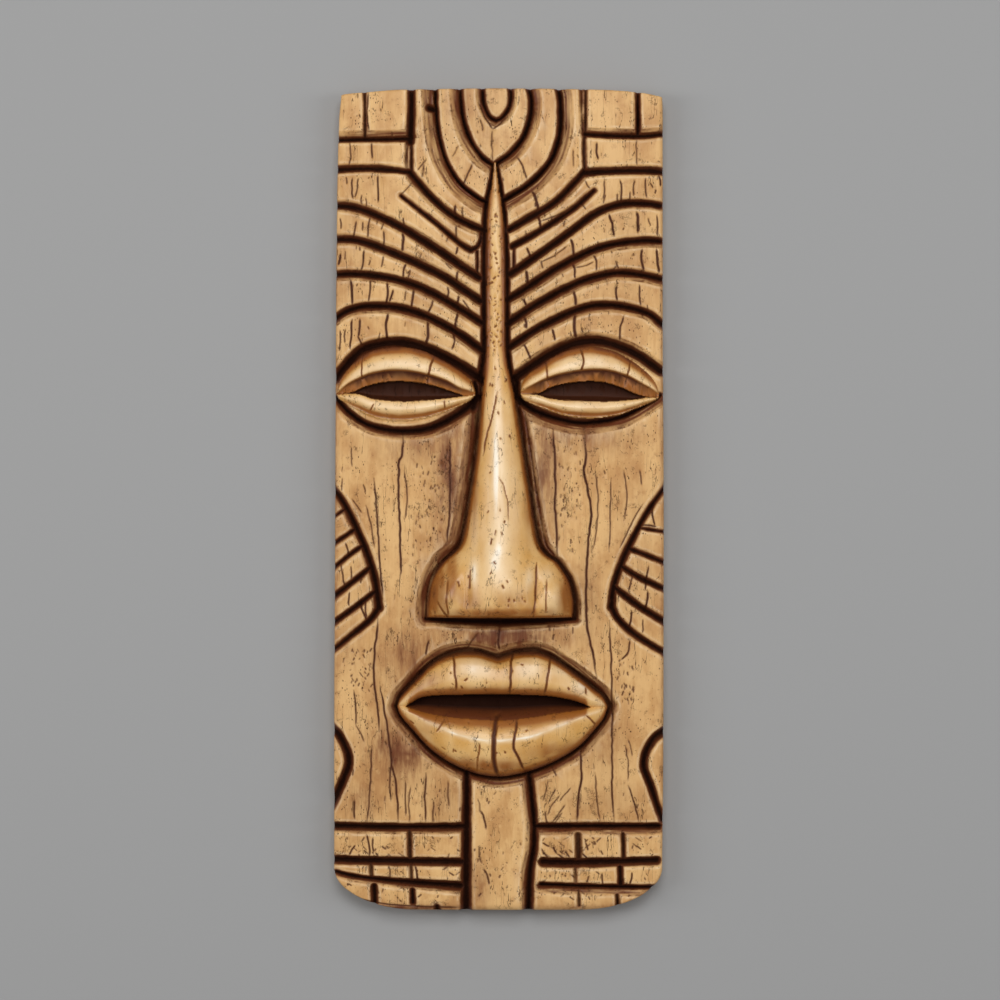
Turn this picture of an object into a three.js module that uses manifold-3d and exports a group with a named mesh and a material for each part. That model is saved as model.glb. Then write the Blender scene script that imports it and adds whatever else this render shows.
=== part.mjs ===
import * as THREE from "three";
import { mergeVertices } from "three/addons/utils/BufferGeometryUtils.js";
import Module from "manifold-3d";

const wasm = await Module();
wasm.setup();

// Sizes in millimetres. The mask lies on its flat back: X runs across the face,
// Y towards the top of the head and Z out of the face. The origin is the middle of the back.
const maskHeight = 500;
const maskWidth = 200;
const boardThickness = 22;
const crownDrop = 4;
const edgeRound = 2.5;
const topCornerRadius = 3;
const topArch = 3.5;
const leftLean = 2.6;
const leanStart = 60;
const leftCornerWidth = 53;
const rightCornerWidth = 51;
const bottomCornerHeight = 25;

const spineRise = 1.5;
const noseRise = 24;
const noseRootRise = 5;
const lipRise = 14;
const mouthFloorRise = 1;
const lidRise = 5;
const eyeSlitDepth = 3;
const footDepth = 6;
const edgeStep = 0.8;

const hairWidth = 1.8;
const jointWidth = 2.4;
const courseWidth = 3.2;
const foldWidth = 3.8;
const deepWidth = 4.8;
const cutSlope = 0.9;
const cutFloorShare = 0.2;

const outlineSegments = 12;
const moundRings = 4;
const noseSegments = 8;
const stepLength = 20;
const crownFacets = 8;

// The board's face is highest along the middle and falls evenly to both long sides
function faceHeight(x) {
  const side = Math.min(Math.abs(x) / (maskWidth / 2), 1);
  return boardThickness - crownDrop * side * side;
}

// The carving is laid out in hundredths of the half width and of the half height,
// from the middle of the board
function across(share) {
  return (share / 100) * (maskWidth / 2);
}

function along(share) {
  return (share / 100) * (maskHeight / 2);
}

function lineThrough(points) {
  const placed = points.map(([x, y]) => new THREE.Vector3(across(x), along(y), 0));
  return new THREE.CatmullRomCurve3(placed, false, "centripetal");
}

function toSolid(geometry) {
  const bare = geometry.index ? geometry.clone() : geometry;
  bare.deleteAttribute("normal");
  bare.deleteAttribute("uv");
  const merged = mergeVertices(bare, 1e-4);
  const vertProperties = Float32Array.from(merged.attributes.position.array);
  const triVerts = Uint32Array.from(merged.index.array);
  return new wasm.Manifold(new wasm.Mesh({ numProp: 3, vertProperties, triVerts }));
}

// Lifts a form that was made on a flat base up to the crowned face of the board
function onFace(geometry) {
  const position = geometry.attributes.position;
  for (let i = 0; i < position.count; i += 1) {
    position.setZ(i, position.getZ(i) + faceHeight(position.getX(i)));
  }
  return geometry;
}

// A closed skin over rings that all have the same number of points, with fans over both ends
function loft(rings) {
  const size = rings[0].length;
  const corners = rings.flat();
  const first = corners.length;
  const last = first + 1;
  const middle = (ring) =>
    ring.reduce((sum, p) => sum.add(p), new THREE.Vector3()).divideScalar(ring.length);
  corners.push(middle(rings[0]), middle(rings[rings.length - 1]));
  const faces = [];
  for (let r = 0; r + 1 < rings.length; r += 1) {
    for (let i = 0; i < size; i += 1) {
      const a = r * size + i;
      const b = r * size + ((i + 1) % size);
      faces.push(a, b, b + size, a, b + size, a + size);
    }
  }
  const end = (rings.length - 1) * size;
  for (let i = 0; i < size; i += 1) {
    const next = (i + 1) % size;
    faces.push(first, next, i);
    faces.push(last, end + i, end + next);
  }
  const geometry = new THREE.BufferGeometry().setFromPoints(corners);
  geometry.setIndex(faces);
  return geometry;
}

// The outline of the board: a bowed top edge with nearly square corners, a left side that leans
// in towards the head, and wide elliptical corners at the bottom
function boardOutline() {
  const x = maskWidth / 2;
  const y = maskHeight / 2;
  const r = topCornerRadius;
  const left = leftCornerWidth;
  const right = rightCornerWidth;
  const h = bottomCornerHeight;
  const shoulder = y - topArch;
  const headLeft = -x + leftLean;
  const shape = new THREE.Shape();
  shape.moveTo(x, -y + h);
  shape.lineTo(x, shoulder - r);
  shape.absarc(x - r, shoulder - r, r, 0, Math.PI / 2, false);
  shape.quadraticCurveTo(0, y + topArch, headLeft + r, shoulder);
  shape.absarc(headLeft + r, shoulder - r, r, Math.PI / 2, Math.PI, false);
  shape.lineTo(-x, leanStart);
  shape.lineTo(-x, -y + h);
  shape.absellipse(-x + left, -y + h, left, h, Math.PI, 1.5 * Math.PI, false, 0);
  shape.lineTo(x - right, -y);
  shape.absellipse(x - right, -y + h, right, h, 1.5 * Math.PI, 2 * Math.PI, false, 0);
  return shape;
}

// The board's cross section, crowned in front, with its two front edges rounded over
function boardSection() {
  const x = maskWidth / 2;
  const shape = new THREE.Shape();
  shape.moveTo(-x, 0);
  shape.lineTo(x, 0);
  shape.lineTo(x, faceHeight(x) - edgeRound);
  for (let i = 0; i <= crownFacets; i += 1) {
    const at = (x - edgeRound) * (1 - (2 * i) / crownFacets);
    shape.lineTo(at, faceHeight(at));
  }
  shape.lineTo(-x, faceHeight(x) - edgeRound);
  return shape;
}

function board() {
  const outline = new THREE.ExtrudeGeometry(boardOutline(), {
    depth: boardThickness,
    bevelEnabled: false,
    curveSegments: 8,
  });
  const section = new THREE.ExtrudeGeometry(boardSection(), {
    depth: maskHeight,
    bevelEnabled: false,
  });
  section.rotateX(Math.PI / 2);
  section.translate(0, maskHeight / 2, 0);
  return toSolid(outline).intersect(toSolid(section));
}

// The outline of an almond form, from its left corner over the top edge and back under
function almond(topEdge, bottomEdge) {
  const over = lineThrough(topEdge).getPoints(outlineSegments);
  const under = lineThrough(bottomEdge).getPoints(outlineSegments);
  return over.concat(under.reverse().slice(1, -1)).reverse();
}

// A domed form over an outline, with an upright edge and a straight foot sunk into the board
function mound(outline, rise, foot) {
  const box = new THREE.Box3().setFromPoints(outline);
  const centre = box.getCenter(new THREE.Vector3());
  const ringAt = (size, height) =>
    outline.map((p) => centre.clone().lerp(p, size).setZ(height));
  const rings = [ringAt(1, -foot)];
  for (let i = 0; i < moundRings; i += 1) {
    const turn = (i / moundRings) * (Math.PI / 2);
    rings.push(ringAt(Math.cos(turn), edgeStep + (rise - edgeStep) * Math.sin(turn)));
  }
  return toSolid(onFace(loft(rings)));
}

// An opening with upright walls over an outline, down to a floor that dips to its middle
function slot(outline, floor, dip, reach) {
  const box = new THREE.Box3().setFromPoints(outline);
  const centre = box.getCenter(new THREE.Vector3());
  const ringAt = (size, height) =>
    outline.map((p) => centre.clone().lerp(p, size).setZ(height));
  const rings = [];
  for (let i = moundRings - 1; i >= 0; i -= 1) {
    const turn = (i / moundRings) * (Math.PI / 2);
    rings.push(ringAt(Math.cos(turn), floor - dip * Math.sin(turn)));
  }
  rings.push(ringAt(1, reach));
  return toSolid(onFace(loft(rings)));
}

// A tapered cut along a line. Its lift is how far its lips lie above the face.
function cut(width, points, lift = 0) {
  const line = lineThrough(points);
  const half = width / 2;
  const floor = half * cutFloorShare;
  const reach = noseRise + footDepth;
  const depth = width * cutSlope;
  const mouth = half + ((half - floor) * edgeStep) / depth;
  const section = new THREE.Shape();
  section.moveTo(depth, -floor);
  section.lineTo(depth, floor);
  section.lineTo(-edgeStep, mouth);
  section.lineTo(-reach, mouth);
  section.lineTo(-reach, -mouth);
  section.lineTo(-edgeStep, -mouth);
  const geometry = new THREE.ExtrudeGeometry(section, {
    steps: Math.max(2, Math.ceil(line.getLength() / stepLength)),
    extrudePath: line,
  });
  geometry.translate(0, 0, lift);
  return toSolid(onFace(geometry));
}

// The spine and the nose are one ridge. Each station gives its place along the board,
// its left and right edge in shares and its rise in millimetres.
function nose() {
  const bulbRise = noseRise * 0.96;
  const stations = [
    [80, -3.5, -2.2, edgeStep],
    [71.5, -7.6, 1.8, spineRise],
    [62, -8, 3, spineRise],
    [34, -8.6, 2.6, spineRise * 1.4],
    [29, -9.6, 5, noseRootRise],
    [20, -11.8, 10.6, noseRootRise + (noseRise - noseRootRise) * 0.2],
    [8, -14.6, 14.8, noseRootRise + (noseRise - noseRootRise) * 0.45],
    [-4, -19.6, 20, noseRootRise + (noseRise - noseRootRise) * 0.68],
    [-10.5, -23, 23, noseRootRise + (noseRise - noseRootRise) * 0.8],
    [-14, -32, 30.5, bulbRise * 0.88],
    [-17.5, -38.6, 38, bulbRise * 0.95],
    [-21, -41.8, 42.6, noseRise],
    [-25, -43, 44.4, noseRise],
    [-28.6, -43.4, 44, bulbRise],
  ];
  const rings = stations.map(([place, left, right, rise]) => {
    const middle = across((left + right) / 2);
    const half = across((right - left) / 2);
    const ring = [];
    for (let i = 0; i <= noseSegments; i += 1) {
      const turn = Math.PI * (i / noseSegments);
      const height = edgeStep + (rise - edgeStep) * Math.pow(Math.sin(turn), 0.8);
      ring.push(new THREE.Vector3(middle + half * Math.cos(turn), along(place), height));
    }
    ring.push(new THREE.Vector3(middle - half, along(place), -footDepth));
    ring.push(new THREE.Vector3(middle + half, along(place), -footDepth));
    return ring;
  });
  return toSolid(onFace(loft(rings)));
}

function lips() {
  const outline = almond(
    [[-60.7, -50.3], [-43, -40.5], [-20, -37.2], [-1, -38.7], [18, -37.2], [38, -39.8], [64, -50.3]],
    [[-60.7, -50.3], [-44, -60.5], [-20, -66], [0, -67.4], [22, -66], [48, -60], [64, -50.3]],
  );
  return mound(outline, lipRise, footDepth);
}

function mouth() {
  const outline = almond(
    [[-56, -50], [-36, -47.6], [0, -47.3], [34, -48.2], [57, -50.2]],
    [[-56, -50], [-36, -52.4], [0, -53.6], [34, -52.2], [57, -50.2]],
  );
  return slot(outline, mouthFloorRise, mouthFloorRise, noseRise);
}

function leftLid() {
  const outline = almond(
    [[-98.5, 25.2], [-85, 34.6], [-66, 37], [-42, 35.4], [-14.5, 27.4]],
    [[-98.5, 25.2], [-82, 20.4], [-60.7, 18.9], [-36, 20.8], [-14.5, 27.4]],
  );
  return mound(outline, lidRise, footDepth);
}

function rightLid() {
  const outline = almond(
    [[13, 26.6], [30, 34], [55, 37.2], [75, 34.8], [96, 26.6]],
    [[13, 26.6], [30, 21.6], [54.9, 19.6], [80, 21.8], [96, 26.6]],
  );
  return mound(outline, lidRise, footDepth);
}

function leftSlit() {
  const outline = almond(
    [[-87, 26], [-60, 28.6], [-20.5, 25.1]],
    [[-87, 26], [-58, 23.7], [-20.5, 25.1]],
  );
  return slot(outline, lidRise - eyeSlitDepth, 1, noseRise);
}

function rightSlit() {
  const outline = almond(
    [[25, 25.6], [56, 28.6], [88, 24.8]],
    [[25, 25.6], [58, 23.7], [88, 24.8]],
  );
  return slot(outline, lidRise - eyeSlitDepth, 1, noseRise);
}

// Upper head: two posts, their courses, the tongue and the nested arches that meet at the spine
function headCuts() {
  return [
    cut(courseWidth, [[-53.7, 102], [-54.6, 87.5], [-54.6, 79.4]]),
    cut(courseWidth, [[-104, 87.7], [-54.6, 87.5]]),
    cut(courseWidth, [[-104, 80.4], [-76, 80.5], [-54, 79.4]]),
    cut(hairWidth, [[-82.6, 102], [-82.6, 87.7]]),
    cut(courseWidth, [[52.5, 102], [51.6, 88.7], [51.3, 79.4]]),
    cut(courseWidth, [[51.9, 88.7], [104, 88.9]]),
    cut(courseWidth, [[51.3, 79.7], [73.2, 80.2], [104, 79.9]]),
    cut(jointWidth, [[83.6, 102], [84.2, 88.7]]),
    cut(jointWidth, [[-10.2, 102], [-9.6, 95.7], [-2.3, 92.1], [5, 95.7], [6.2, 102]]),
    cut(jointWidth, [[-23.6, 102], [-21.8, 92.8], [-14.5, 86.2], [-3.5, 81.6]]),
    cut(jointWidth, [[17.8, 102], [18.4, 93.5], [12.3, 86.7], [-1.7, 81.6]]),
    cut(courseWidth, [[-38.8, 102], [-37.6, 89.9], [-29.1, 79.7], [-7.2, 72.1]]),
    cut(courseWidth, [[34.9, 102], [37.3, 91.1], [27.5, 80.2], [0.8, 72.6]]),
    cut(courseWidth, [[-54.6, 79.7], [-41.2, 72.9], [-26, 68.2], [-9, 65.3]]),
    cut(courseWidth, [[51.3, 79.4], [34.2, 73.1], [18.4, 69], [3.8, 65.3]]),
  ];
}

// Brows: bands that fall from both sides towards the spine, one below another
function browCuts() {
  return [
    cut(courseWidth, [[-60.7, 74.3], [-38.2, 67], [-16.3, 60.7]]),
    cut(foldWidth, [[-104, 71.6], [-76, 69.7], [-45.5, 62.4], [-12.6, 53.9]]),
    cut(foldWidth, [[-104, 63.1], [-76, 62.1], [-45.5, 57], [-12, 48]]),
    cut(foldWidth, [[-104, 54.8], [-72.9, 54.8], [-42.5, 51.2], [-10.2, 43.6]]),
    cut(foldWidth, [[-104, 43.9], [-76, 47.8], [-45.5, 44.9], [-9.6, 36.6]]),
    cut(deepWidth, [[-99.7, 29.5], [-82, 36.6], [-60.7, 38.8], [-36.4, 35.8], [-10.8, 29]]),
    cut(courseWidth, [[57.4, 76], [36.7, 68.7], [8.1, 61.7]]),
    cut(foldWidth, [[104, 71.4], [79.3, 72.1], [45.8, 66.3], [8.1, 55.8]]),
    cut(foldWidth, [[104, 63.1], [70.2, 62.4], [36.7, 56.5], [5, 48.8]]),
    cut(foldWidth, [[104, 53.1], [73.2, 55.1], [39.7, 51.2], [4.4, 42.7]]),
    cut(foldWidth, [[100, 41.7], [67.1, 47.8], [36.7, 45.1], [4.4, 36.8]]),
    cut(deepWidth, [[98.2, 31.7], [79.3, 36.8], [58, 38.8], [33.6, 36.6], [8.7, 30]]),
    cut(jointWidth, [[-16.3, 60.7], [-14.5, 54.4]]),
    cut(jointWidth, [[8.7, 61.4], [8.7, 55.6]]),
    cut(foldWidth, [[-3.5, 81.9], [-7.2, 71.6], [-9.6, 50.9], [-9.6, 36.3], [-13.2, 25.4]]),
    cut(foldWidth, [[-2.3, 81.9], [2, 71.6], [3.8, 50.9], [4.4, 36.3], [9.9, 25.4]]),
  ];
}

// Eyes and nose: the grooves under the lids, the lid creases and the cut around the nose
function faceCuts() {
  const crease = lidRise * 0.7;
  return [
    cut(deepWidth, [[-99.1, 24.9], [-82, 18.3], [-57.7, 16.6], [-33.3, 19.1], [-13.2, 24.2]]),
    cut(deepWidth, [[10.5, 24.7], [30.6, 20], [54.9, 18.3], [79.3, 20.3], [97.6, 25.6]]),
    cut(hairWidth, [[-93, 27.4], [-70, 30.8], [-46, 30], [-22, 26]], crease),
    cut(hairWidth, [[18.5, 27], [40, 30.4], [64, 31], [87, 27.8]], crease),
    cut(deepWidth, [[-13.9, 24.7], [-17.5, 7.1], [-24, -8.7], [-34, -13], [-44, -20], [-46, -30]]),
    cut(deepWidth, [[11.1, 24.7], [18.4, 7.1], [25.4, -9.6], [34, -13], [45, -19], [47, -30]]),
    cut(deepWidth, [[-46.1, -30.2], [0.2, -30.5], [47, -30.2]]),
  ];
}

// Cheeks: a fan of slats at each side, and one notch for each ear below it
function cheekCuts() {
  return [
    cut(foldWidth, [[-104, 2.2], [-86.9, -7.7], [-77.2, -18.4], [-74.1, -27]]),
    cut(jointWidth, [[-74.1, -26.5], [-85.1, -31.6], [-104, -37.8]]),
    cut(hairWidth, [[-104, -5.2], [-93.6, -2.4]]),
    cut(hairWidth, [[-104, -11.7], [-88.1, -7.2]]),
    cut(jointWidth, [[-104, -18], [-83.9, -11.4]]),
    cut(jointWidth, [[-104, -24.5], [-78.4, -16.5]]),
    cut(jointWidth, [[-104, -31], [-75.3, -22.1]]),
    cut(courseWidth, [[104, 4.8], [87.2, -4.6], [74.4, -15.3], [68.3, -26]]),
    cut(jointWidth, [[68.3, -25.5], [80.5, -32.6], [104, -39]]),
    cut(hairWidth, [[84.2, -7.2], [104, -8.3]]),
    cut(jointWidth, [[78.7, -12.4], [104, -15.6]]),
    cut(jointWidth, [[74.4, -16.7], [104, -23.2]]),
    cut(jointWidth, [[70.2, -21.6], [104, -31.7]]),
    cut(courseWidth, [[-104, -53], [-92.4, -63.5], [-104, -75]]),
    cut(courseWidth, [[104, -54], [87.2, -64.9], [104, -79]]),
  ];
}

// Chin: a post in the middle and three courses of blocks at each side
function chinCuts() {
  const cuts = [
    cut(foldWidth, [[-19.9, -66.6], [-20.2, -82], [-20.5, -103]]),
    cut(foldWidth, [[17.8, -66.8], [20.2, -81.7], [18.4, -103]]),
    cut(courseWidth, [[-104, -79.5], [-19.9, -79.8]]),
    cut(foldWidth, [[-104, -87.4], [-60, -87.9], [-19.9, -88.1]]),
    cut(courseWidth, [[-100, -89.9], [-76, -92.9], [-19.9, -93.7]]),
    cut(courseWidth, [[20.9, -79.8], [104, -79.5]]),
    cut(foldWidth, [[22.1, -88.3], [104, -87.8]]),
    cut(jointWidth, [[22.1, -94.2], [61, -94.6], [104, -93.9]]),
  ];
  const joints = [
    [-54.5, -80.5, -87.2],
    [-77.5, -88.9, -92.4],
    [-54, -88.9, -92.9],
    [-76.4, -93.4, -97.4],
    [-53.3, -94, -98],
    [47.7, -80.5, -87.4],
    [75, -80.5, -87.4],
    [46.4, -88.9, -93.6],
    [73.2, -88.9, -93.6],
    [47.7, -95, -98.6],
    [71.4, -95, -98.6],
  ];
  for (const [x, top, bottom] of joints) {
    cuts.push(cut(jointWidth, [[x, top], [x, bottom]]));
  }
  return cuts;
}

function tikiMask() {
  let solid = board().add(nose()).add(lips()).add(leftLid()).add(rightLid());
  const hollows = [mouth(), leftSlit(), rightSlit()];
  const cuts = [headCuts(), browCuts(), faceCuts(), cheekCuts(), chinCuts()].flat();
  for (const tool of hollows.concat(cuts)) {
    solid = solid.subtract(tool);
  }
  const { vertProperties, triVerts } = solid.getMesh();
  const geometry = new THREE.BufferGeometry();
  geometry.setAttribute("position", new THREE.BufferAttribute(vertProperties, 3));
  geometry.setIndex(new THREE.BufferAttribute(triVerts, 1));
  geometry.computeVertexNormals();
  const wood = new THREE.MeshStandardMaterial({ color: 0xcda873, roughness: 0.5, metalness: 0 });
  const mesh = new THREE.Mesh(geometry, wood);
  mesh.name = "tiki_mask";
  return mesh;
}

const mask = new THREE.Group();
mask.add(tikiMask());

export default mask;
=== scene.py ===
import math

import bpy
import numpy as np
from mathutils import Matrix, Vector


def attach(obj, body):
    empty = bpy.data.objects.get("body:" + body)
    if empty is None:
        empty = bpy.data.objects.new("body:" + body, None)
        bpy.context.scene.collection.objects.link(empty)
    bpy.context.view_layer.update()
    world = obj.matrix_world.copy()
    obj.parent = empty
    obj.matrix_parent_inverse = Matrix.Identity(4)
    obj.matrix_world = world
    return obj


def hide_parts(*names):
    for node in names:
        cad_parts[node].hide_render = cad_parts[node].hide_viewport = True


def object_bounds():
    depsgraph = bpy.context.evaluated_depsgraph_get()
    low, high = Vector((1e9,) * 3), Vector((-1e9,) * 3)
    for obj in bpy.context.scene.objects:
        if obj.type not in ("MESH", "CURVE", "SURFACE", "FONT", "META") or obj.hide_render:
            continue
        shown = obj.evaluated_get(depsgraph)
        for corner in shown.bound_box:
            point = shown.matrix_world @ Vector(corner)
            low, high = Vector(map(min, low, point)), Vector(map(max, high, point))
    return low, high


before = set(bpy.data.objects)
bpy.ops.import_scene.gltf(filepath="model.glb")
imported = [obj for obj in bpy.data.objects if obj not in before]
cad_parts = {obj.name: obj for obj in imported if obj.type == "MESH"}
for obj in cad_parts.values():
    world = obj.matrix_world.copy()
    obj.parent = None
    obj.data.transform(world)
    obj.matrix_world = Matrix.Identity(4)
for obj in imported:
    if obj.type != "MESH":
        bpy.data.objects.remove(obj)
cadLow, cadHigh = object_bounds()
mm = 0.001

# the photograph's measures, in its own pixels, and what one of them is on the mask
photo = {
    "side": 1000,
    "middleX": 499.75,
    "middleY": 499.25,
    "maskTall": 821.5,
}
pixel = (cadHigh.y - cadLow.y) / mm / photo["maskTall"]  # millimetres in one pixel

maskShape = {
    "cell": 0.4,  # millimetres between the points of the relief
    "margin": 4.0,
    "face": 22.0,  # height of the face along the middle line
    "crown": 4.0,  # how much lower the face is at the long sides
    "noseRise": 23.6,
    "spineRise": 1.0,
    "lipRise": 13.5,
    "lidRise": 5.6,
    "slitFloor": -1.2,
    "mouthFloor": -1.0,
    "backRound": 1.5,
    "columns": 470,
    "rows": 1180,
    "faces": 188000,
    "seed": 11,
}

# the outline, in pixels: the two long sides by row, the top edge by column
leftSide = [(86, 342), (98, 341), (120, 339), (200, 337), (300, 336), (520, 335), (760, 334), (860, 334)]
rightSide = [(86, 662), (120, 663), (300, 663), (520, 664), (760, 663.5), (860, 662.5)]
topEdge = [(336, 97), (345, 94), (370, 92), (400, 90), (500, 89), (600, 90), (640, 92.5), (664, 97)]
bottomCorner = {"y": 910, "leftWide": 88, "rightWide": 85, "tall": 42}
edgeRound = {"left": 1.4, "right": 2.6, "top": 1.2, "bottom": 4.5}

# cuts: name, width, slope on the left hand, slope on the right hand, points, all in pixels
headCuts = [
    ("postLeft", (5, 6), 2, 2, [(411.5, 84), (411.5, 110), (410.5, 142)]),
    ("postLeftLow", (1.8, 1.6), 1, 1, [(407, 142), (406.5, 160), (406.5, 172)], 0.4),
    ("postLeftSide", (2.2, 2.4), 1.5, 1, [(411.5, 142), (411.5, 160), (411.5, 174)], 0.85),
    ("chip", (6, 5), 1, 1, [(429.5, 108.5), (433.5, 109.5)]),
    ("courseLeftA", (3.4, 4.2), 6, 1.5, [(332, 140), (360, 139.5), (410, 139)]),
    ("courseLeftB", (5, 4), 2, 1.5, [(336, 169.5), (365, 168.5), (390, 170), (410, 172.5)]),
    ("jointLeft", (2, 2.4), 1.6, 1, [(364.5, 84), (365, 115), (365, 138)], 0.85),
    ("postRight", (2, 2.2), 1, 1, [(585.5, 84), (585.5, 110), (585, 138)], 0.85),
    ("postRightSide", (1.6, 1.8), 1, 2, [(581.5, 84), (581.5, 110), (583, 136)], 0.45),
    ("postRightLow", (2.2, 2.6), 2, 1, [(584, 138), (584, 155), (584.5, 171)], 0.85),
    ("courseRightA", (4, 4), 4, 1.5, [(585, 134.5), (600, 135.5), (640, 136), (661, 134)]),
    ("courseRightB", (5.5, 5), 2, 2, [(585, 173), (615, 171), (645, 170.5), (661, 171.5)]),
    ("jointRight", (3, 3.4), 1, 2, [(638, 84), (638, 110), (638, 134)]),
    ("tongueLeft", (3.6, 3), 1, 4, [(482.5, 84), (483, 100), (485, 108), (490, 117.5), (496, 121)]),
    ("tongueRight", (3.6, 3), 4, 1, [(510, 84), (510.5, 100), (508, 110), (502, 118), (496, 121)]),
    ("archLeftA", (3.8, 3.4), 1, 8,
     [(460.5, 84), (461, 100), (464, 122), (471, 141), (482, 157), (494, 166)]),
    ("archRightA", (4.6, 4), 7, 1,
     [(527.5, 84), (531, 100), (530, 118), (523, 138), (511, 153), (497, 163.5)]),
    ("archLeftB", (3.2, 3), 1, 11,
     [(435.5, 84), (436, 105), (439, 135), (447, 162), (460, 183), (478, 198), (487, 202)]),
    ("archRightB", (4.8, 4.6), 9, 1,
     [(556.5, 84), (560, 100), (560, 130), (553, 156), (540, 174), (524, 188), (504, 200)]),
    ("archLeftC", (5, 5), 2, 4,
     [(411, 174), (430, 196), (450, 214), (470, 225), (485, 231)]),
    ("archRightC", (4.6, 5.4), 3, 2,
     [(584, 172), (570, 188), (553, 204), (533, 216), (509, 230)]),
]
browCuts = [
    ("stripLeft", (2.2, 4.8), 2, 2, [(401, 196), (420, 211), (440, 227), (460, 244), (471, 250.5)]),
    ("stripLeftEnd", (3.2, 2), 1, 1, [(471, 250.5), (477, 247.5), (480.5, 241), (481, 233)]),
    ("stripRight", (3.4, 4.6), 2, 2, [(594, 191), (572, 210), (545, 228), (525, 240), (512, 247)]),
    ("linkLeft", (2, 2), 1, 1, [(477, 252), (477.5, 262), (477, 274)]),
    ("linkRight", (2, 2), 1, 1, [(514, 248), (514, 258), (514, 271)]),
    ("bandLeftA", (5, 6.2), 2.6, 3,
     [(332, 205), (360, 209), (400, 227), (440, 251.5), (460, 265.5), (479, 278)]),
    ("bandLeftB", (5, 6.2), 2.6, 3,
     [(332, 239), (360, 241), (400, 256), (440, 275), (460, 287.5), (480, 301)]),
    ("bandLeftC", (4.8, 6.2), 1.5, 3.4,
     [(332, 274.5), (360, 274), (400, 280.5), (430, 292), (460, 309), (482, 323)]),
    ("bandLeftD", (5, 6.4), 1.5, 4,
     [(333, 320), (342, 313.5), (352, 309), (368, 306), (400, 308), (430, 318), (460, 334.5), (483, 351)]),
    ("bandRightA", (6, 4.8), 1.5, 2.4,
     [(510, 274.5), (540, 254), (570, 232.5), (595, 214), (620, 204.5), (645, 203.5), (660, 205.5)]),
    ("bandRightB", (6, 4.8), 1.5, 4,
     [(507, 300), (520, 292.5), (560, 266.5), (600, 247.5), (640, 240.5), (660, 241)]),
    ("bandRightC", (6.2, 4.8), 2, 4.2,
     [(507, 324), (540, 302.5), (580, 282), (615, 273), (640, 274.5), (661, 279)]),
    ("bandRightD", (6, 5.2), 1.5, 3.6,
     [(508, 348), (540, 327.5), (580, 309), (610, 305), (645, 312), (664, 325)]),
    ("browLeft", (7.6, 8.6), 2, 3,
     [(336, 378), (350, 361), (367, 347.5), (400, 342.5), (430, 350.5), (460, 365.5), (483, 381)]),
    ("browRight", (8, 7), 4, 3,
     [(511, 381), (535, 364), (552, 353.5), (572, 344.5), (592, 341), (612, 344), (638, 355), (661, 371)]),
    ("spineLeft", (3, 5.6), 1, 1,
     [(493.5, 165), (490.5, 185), (486, 205), (484, 245), (484, 300), (484, 350), (480, 378)]),
    ("spineRight", (3, 4.6), 1, 1,
     [(496.5, 165), (500, 185), (504.5, 215), (507, 262), (507.5, 340), (509.5, 366), (515, 392)]),
]
eyeCuts = [
    ("underLeft", (4.4, 8), 1, 5,
     [(336, 398), (350, 413), (370, 425.5), (400, 431), (430, 428), (460, 413), (479, 397)]),
    ("underRight", (7, 3.6), 1, 8,
     [(517, 398), (535, 410.5), (565, 420.5), (590, 422.5), (625, 415.5), (660, 395)]),
    ("cornerLeft", (5, 9), 1, 1, [(475, 382), (475.5, 394), (473, 407)]),
    ("cornerRight", (5, 6), 1, 1, [(517, 380), (516.5, 392), (520, 403)]),
]
cheekCuts = [
    ("wingLeft", (4.4, 6), 2, 3,
     [(331, 486), (343, 502), (355, 525), (367, 553), (375, 580), (379, 608)]),
    ("wingLeftLow", (4.6, 3.4), 2, 2, [(379, 607), (370, 620), (352, 635), (331, 652)]),
    ("slatLeftA", (1.8, 1.6), 1, 1, [(331, 519), (345, 509)]),
    ("slatLeftB", (2.6, 2.6), 1, 2, [(331, 545.5), (354, 530)]),
    ("slatLeftC", (2.8, 2.8), 1, 2, [(331, 570), (347, 557), (362, 546)]),
    ("slatLeftD", (4, 3.6), 1, 2, [(331, 598.5), (350, 584), (371, 567)]),
    ("slatLeftE", (4, 3.8), 1, 2, [(331, 624.5), (350, 611), (376, 591)]),
    ("wingRight", (3, 5.8), 2, 2,
     [(668, 483), (655, 501), (642, 521), (624, 557), (614, 585), (611, 607)]),
    ("wingRightLow", (5, 4.4), 2, 2, [(611, 606), (619, 620), (637, 636), (668, 655)]),
    ("slatRightA", (2, 2), 1, 1, [(640, 528), (668, 532.5)]),
    ("slatRightB", (3, 3), 2, 1, [(630, 549), (668, 564)]),
    ("slatRightC", (4, 4), 2, 1, [(622, 567), (640, 578), (668, 591)]),
    ("slatRightD", (4.6, 5), 2, 1, [(615, 588), (640, 607), (668, 624)]),
    ("earLeft", (6, 6.4), 1, 2, [(331, 727), (341, 738), (349, 761), (341, 785), (331, 806)]),
    ("earRight", (6.4, 4.6), 2, 1,
     [(664, 731), (652, 741), (643.5, 763), (652, 790), (662, 820)]),
]
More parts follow.
